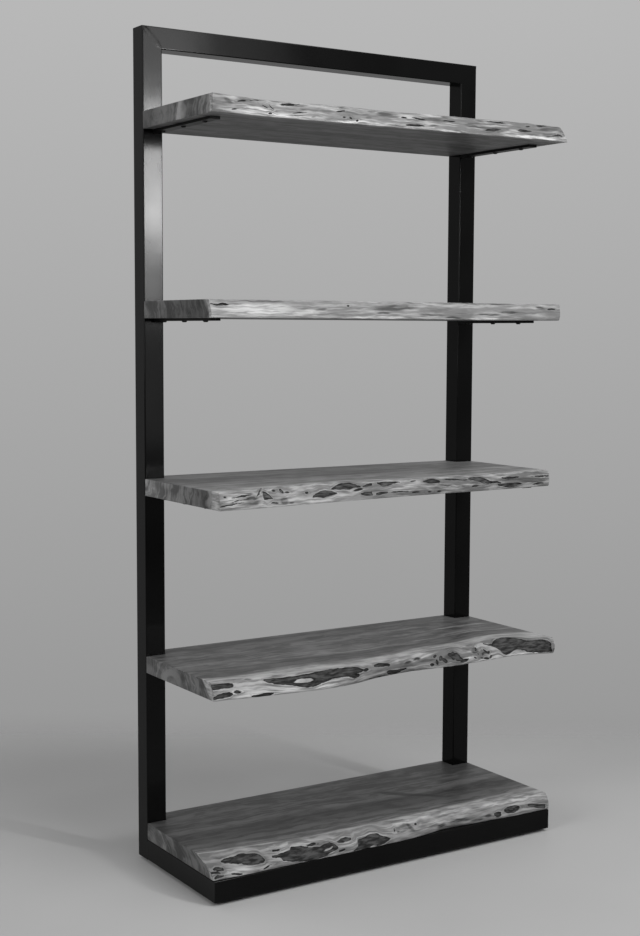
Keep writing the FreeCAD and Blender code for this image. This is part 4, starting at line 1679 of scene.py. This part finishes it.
@dataclass(frozen=True)
class Softbox:
    """A rectangular lamp: where it stands, where it points, how large it is and how bright it looks."""

    name: str
    place: Triple
    target: Triple
    size: Pair
    radiance: float

    def build(self) -> bpy.types.Object:
        """Hang the lamp.

        Returns:
            The lamp.
        """
        data = bpy.data.lights.new(self.name, "AREA")
        data.shape = "RECTANGLE"
        data.size, data.size_y = self.size
        data.energy = self.radiance * math.pi * self.size[0] * self.size[1]
        lamp = bpy.data.objects.new(self.name, data)
        lamp.location = self.place
        lamp.rotation_euler = (Vector(self.target) - Vector(self.place)).to_track_quat("-Z", "Y").to_euler()
        bpy.context.scene.collection.objects.link(lamp)
        return lamp


@dataclass
class Studio:
    """Plain pale floor, plain grey surround and soft lamps."""

    camera: PhotoCamera
    floor_tone: Pair = (173.0, 179.0)
    floor_cells: float = 1.5
    floor_end: float = 4.64
    floor_fade: float = 0.35
    floor_width: float = 9.0
    floor_near: float = -4.0
    floor_roughness: float = 0.5
    floor_specular: float = 0.12
    low_tone: float = 152.0
    high_tone: float = 184.0
    ambient: float = 112.0
    backdrop_span: Pair = (-0.26, 0.2)
    lamps: tuple[Softbox, ...] = (
        Softbox("key_softbox", (1.015, -2.79, 1.93), (-0.457, 0.155, 1.57), (0.14, 0.64), 108.0),
        Softbox("tail_softbox", (1.0, -2.79, 1.48), (-0.457, 0.155, 1.4), (0.14, 0.26), 27.0),
        Softbox("high_softbox", (1.0, -2.79, 2.48), (-0.45, 0.155, 1.9), (0.46, 0.5), 9.2),
        Softbox("rail_softbox", (1.48, -2.79, 2.54), (-0.2, 0.155, 1.93), (0.36, 0.5), 2.0),
        Softbox("low_softbox", (1.0, -2.79, 1.1), (-0.45, 0.155, 1.15), (0.26, 0.7), 1.8),
        Softbox("front_softbox", (0.8, -2.8, 3.9), (0.0, 0.0, 0.9), (2.6, 1.6), 5.7),
        Softbox("left_softbox", (-4.2, -0.8, 2.2), (0.0, 0.0, 1.0), (2.0, 2.4), 5.5),
        Softbox("top_softbox", (0.5, -0.7, 4.1), (0.0, 0.0, 1.0), (2.6, 1.8), 2.3),
        Softbox("rear_softbox", (-1.2, 2.6, 4.2), (0.0, 0.0, 1.0), (2.0, 2.0), 2.6),
    )

    def build(self) -> None:
        """Lay the floor, light the surround and hang the lamps."""
        self.floor()
        self.surround()
        for lamp in self.lamps:
            lamp.build()
        bpy.context.scene.view_settings.view_transform = "Standard"

    def floor(self) -> None:
        """A level sheet under the unit that fades out behind it."""
        end = self.floor_end + self.floor_fade
        half, near = self.floor_width / 2, self.floor_near
        corners = [(-half, near, 0.0), (half, near, 0.0), (half, end, 0.0), (-half, end, 0.0)]
        mix = Recipe(bpy.data.materials.new("studio_floor"))
        place = mix.place()
        material = mix.finish(
            Base_Color=mix.ramp(mix.cloud(place, self.floor_cells), *zip(NOISE_SPAN, self.floor_tone)),
            Roughness=self.floor_roughness,
            Specular_IOR_Level=self.floor_specular,
            Alpha=mix.step(mix.split(place)["Y"], self.floor_end - self.floor_fade, end, (1.0, 0.0)))
        sheet = new_piece("studio_floor", corners, [(0, 1, 2, 3)], material)
        sheet.location = (self.camera.place[0], self.camera.place[1], 0.0)
        sheet.rotation_euler = (0.0, 0.0, -math.radians(self.camera.heading))

    def surround(self) -> None:
        """Plain pale backdrop that the camera, gloss and glass see, and a dimmer even light on the rest."""
        mix = Recipe(bpy.data.worlds.new("studio_surround"), "Background")
        height = mix.add("ShaderNodeMapRange")
        mix.feed(height.inputs["Value"], mix.split(mix.add("ShaderNodeTexCoord").outputs["Generated"])["Z"])
        for name, limit in zip(("From Min", "From Max"), self.backdrop_span):
            mix.feed(height.inputs[name], limit)
        backdrop = mix.ramp(height.outputs[0], (0.0, self.low_tone), (1.0, self.high_tone))
        path = mix.add("ShaderNodeLightPath").outputs
        shown = mix.maths("ADD", path["Is Camera Ray"], path["Is Glossy Ray"])
        shown = mix.maths("ADD", shown, path["Is Transmission Ray"])
        bpy.context.scene.world = mix.finish(Color=mix.blend(shown, grey(self.ambient), backdrop))


def main() -> None:
    """Build the studio and every piece, in order, and report each one."""
    logging.basicConfig(level=logging.INFO, format="%(message)s")
    camera = PhotoCamera()
    camera.build()
    Studio(camera).build()
    for shelf in shelves():
        piece = shelf.build()
        LOG.info("%s: %d faces", piece.name, len(piece.data.polygons))
    for assembly in (TubeFrame(), LevellingFeet()):
        for piece in assembly.dress():
            LOG.info("%s: %s", piece.name, piece.data.materials[0].name)


if __name__ == "__main__":
    main()
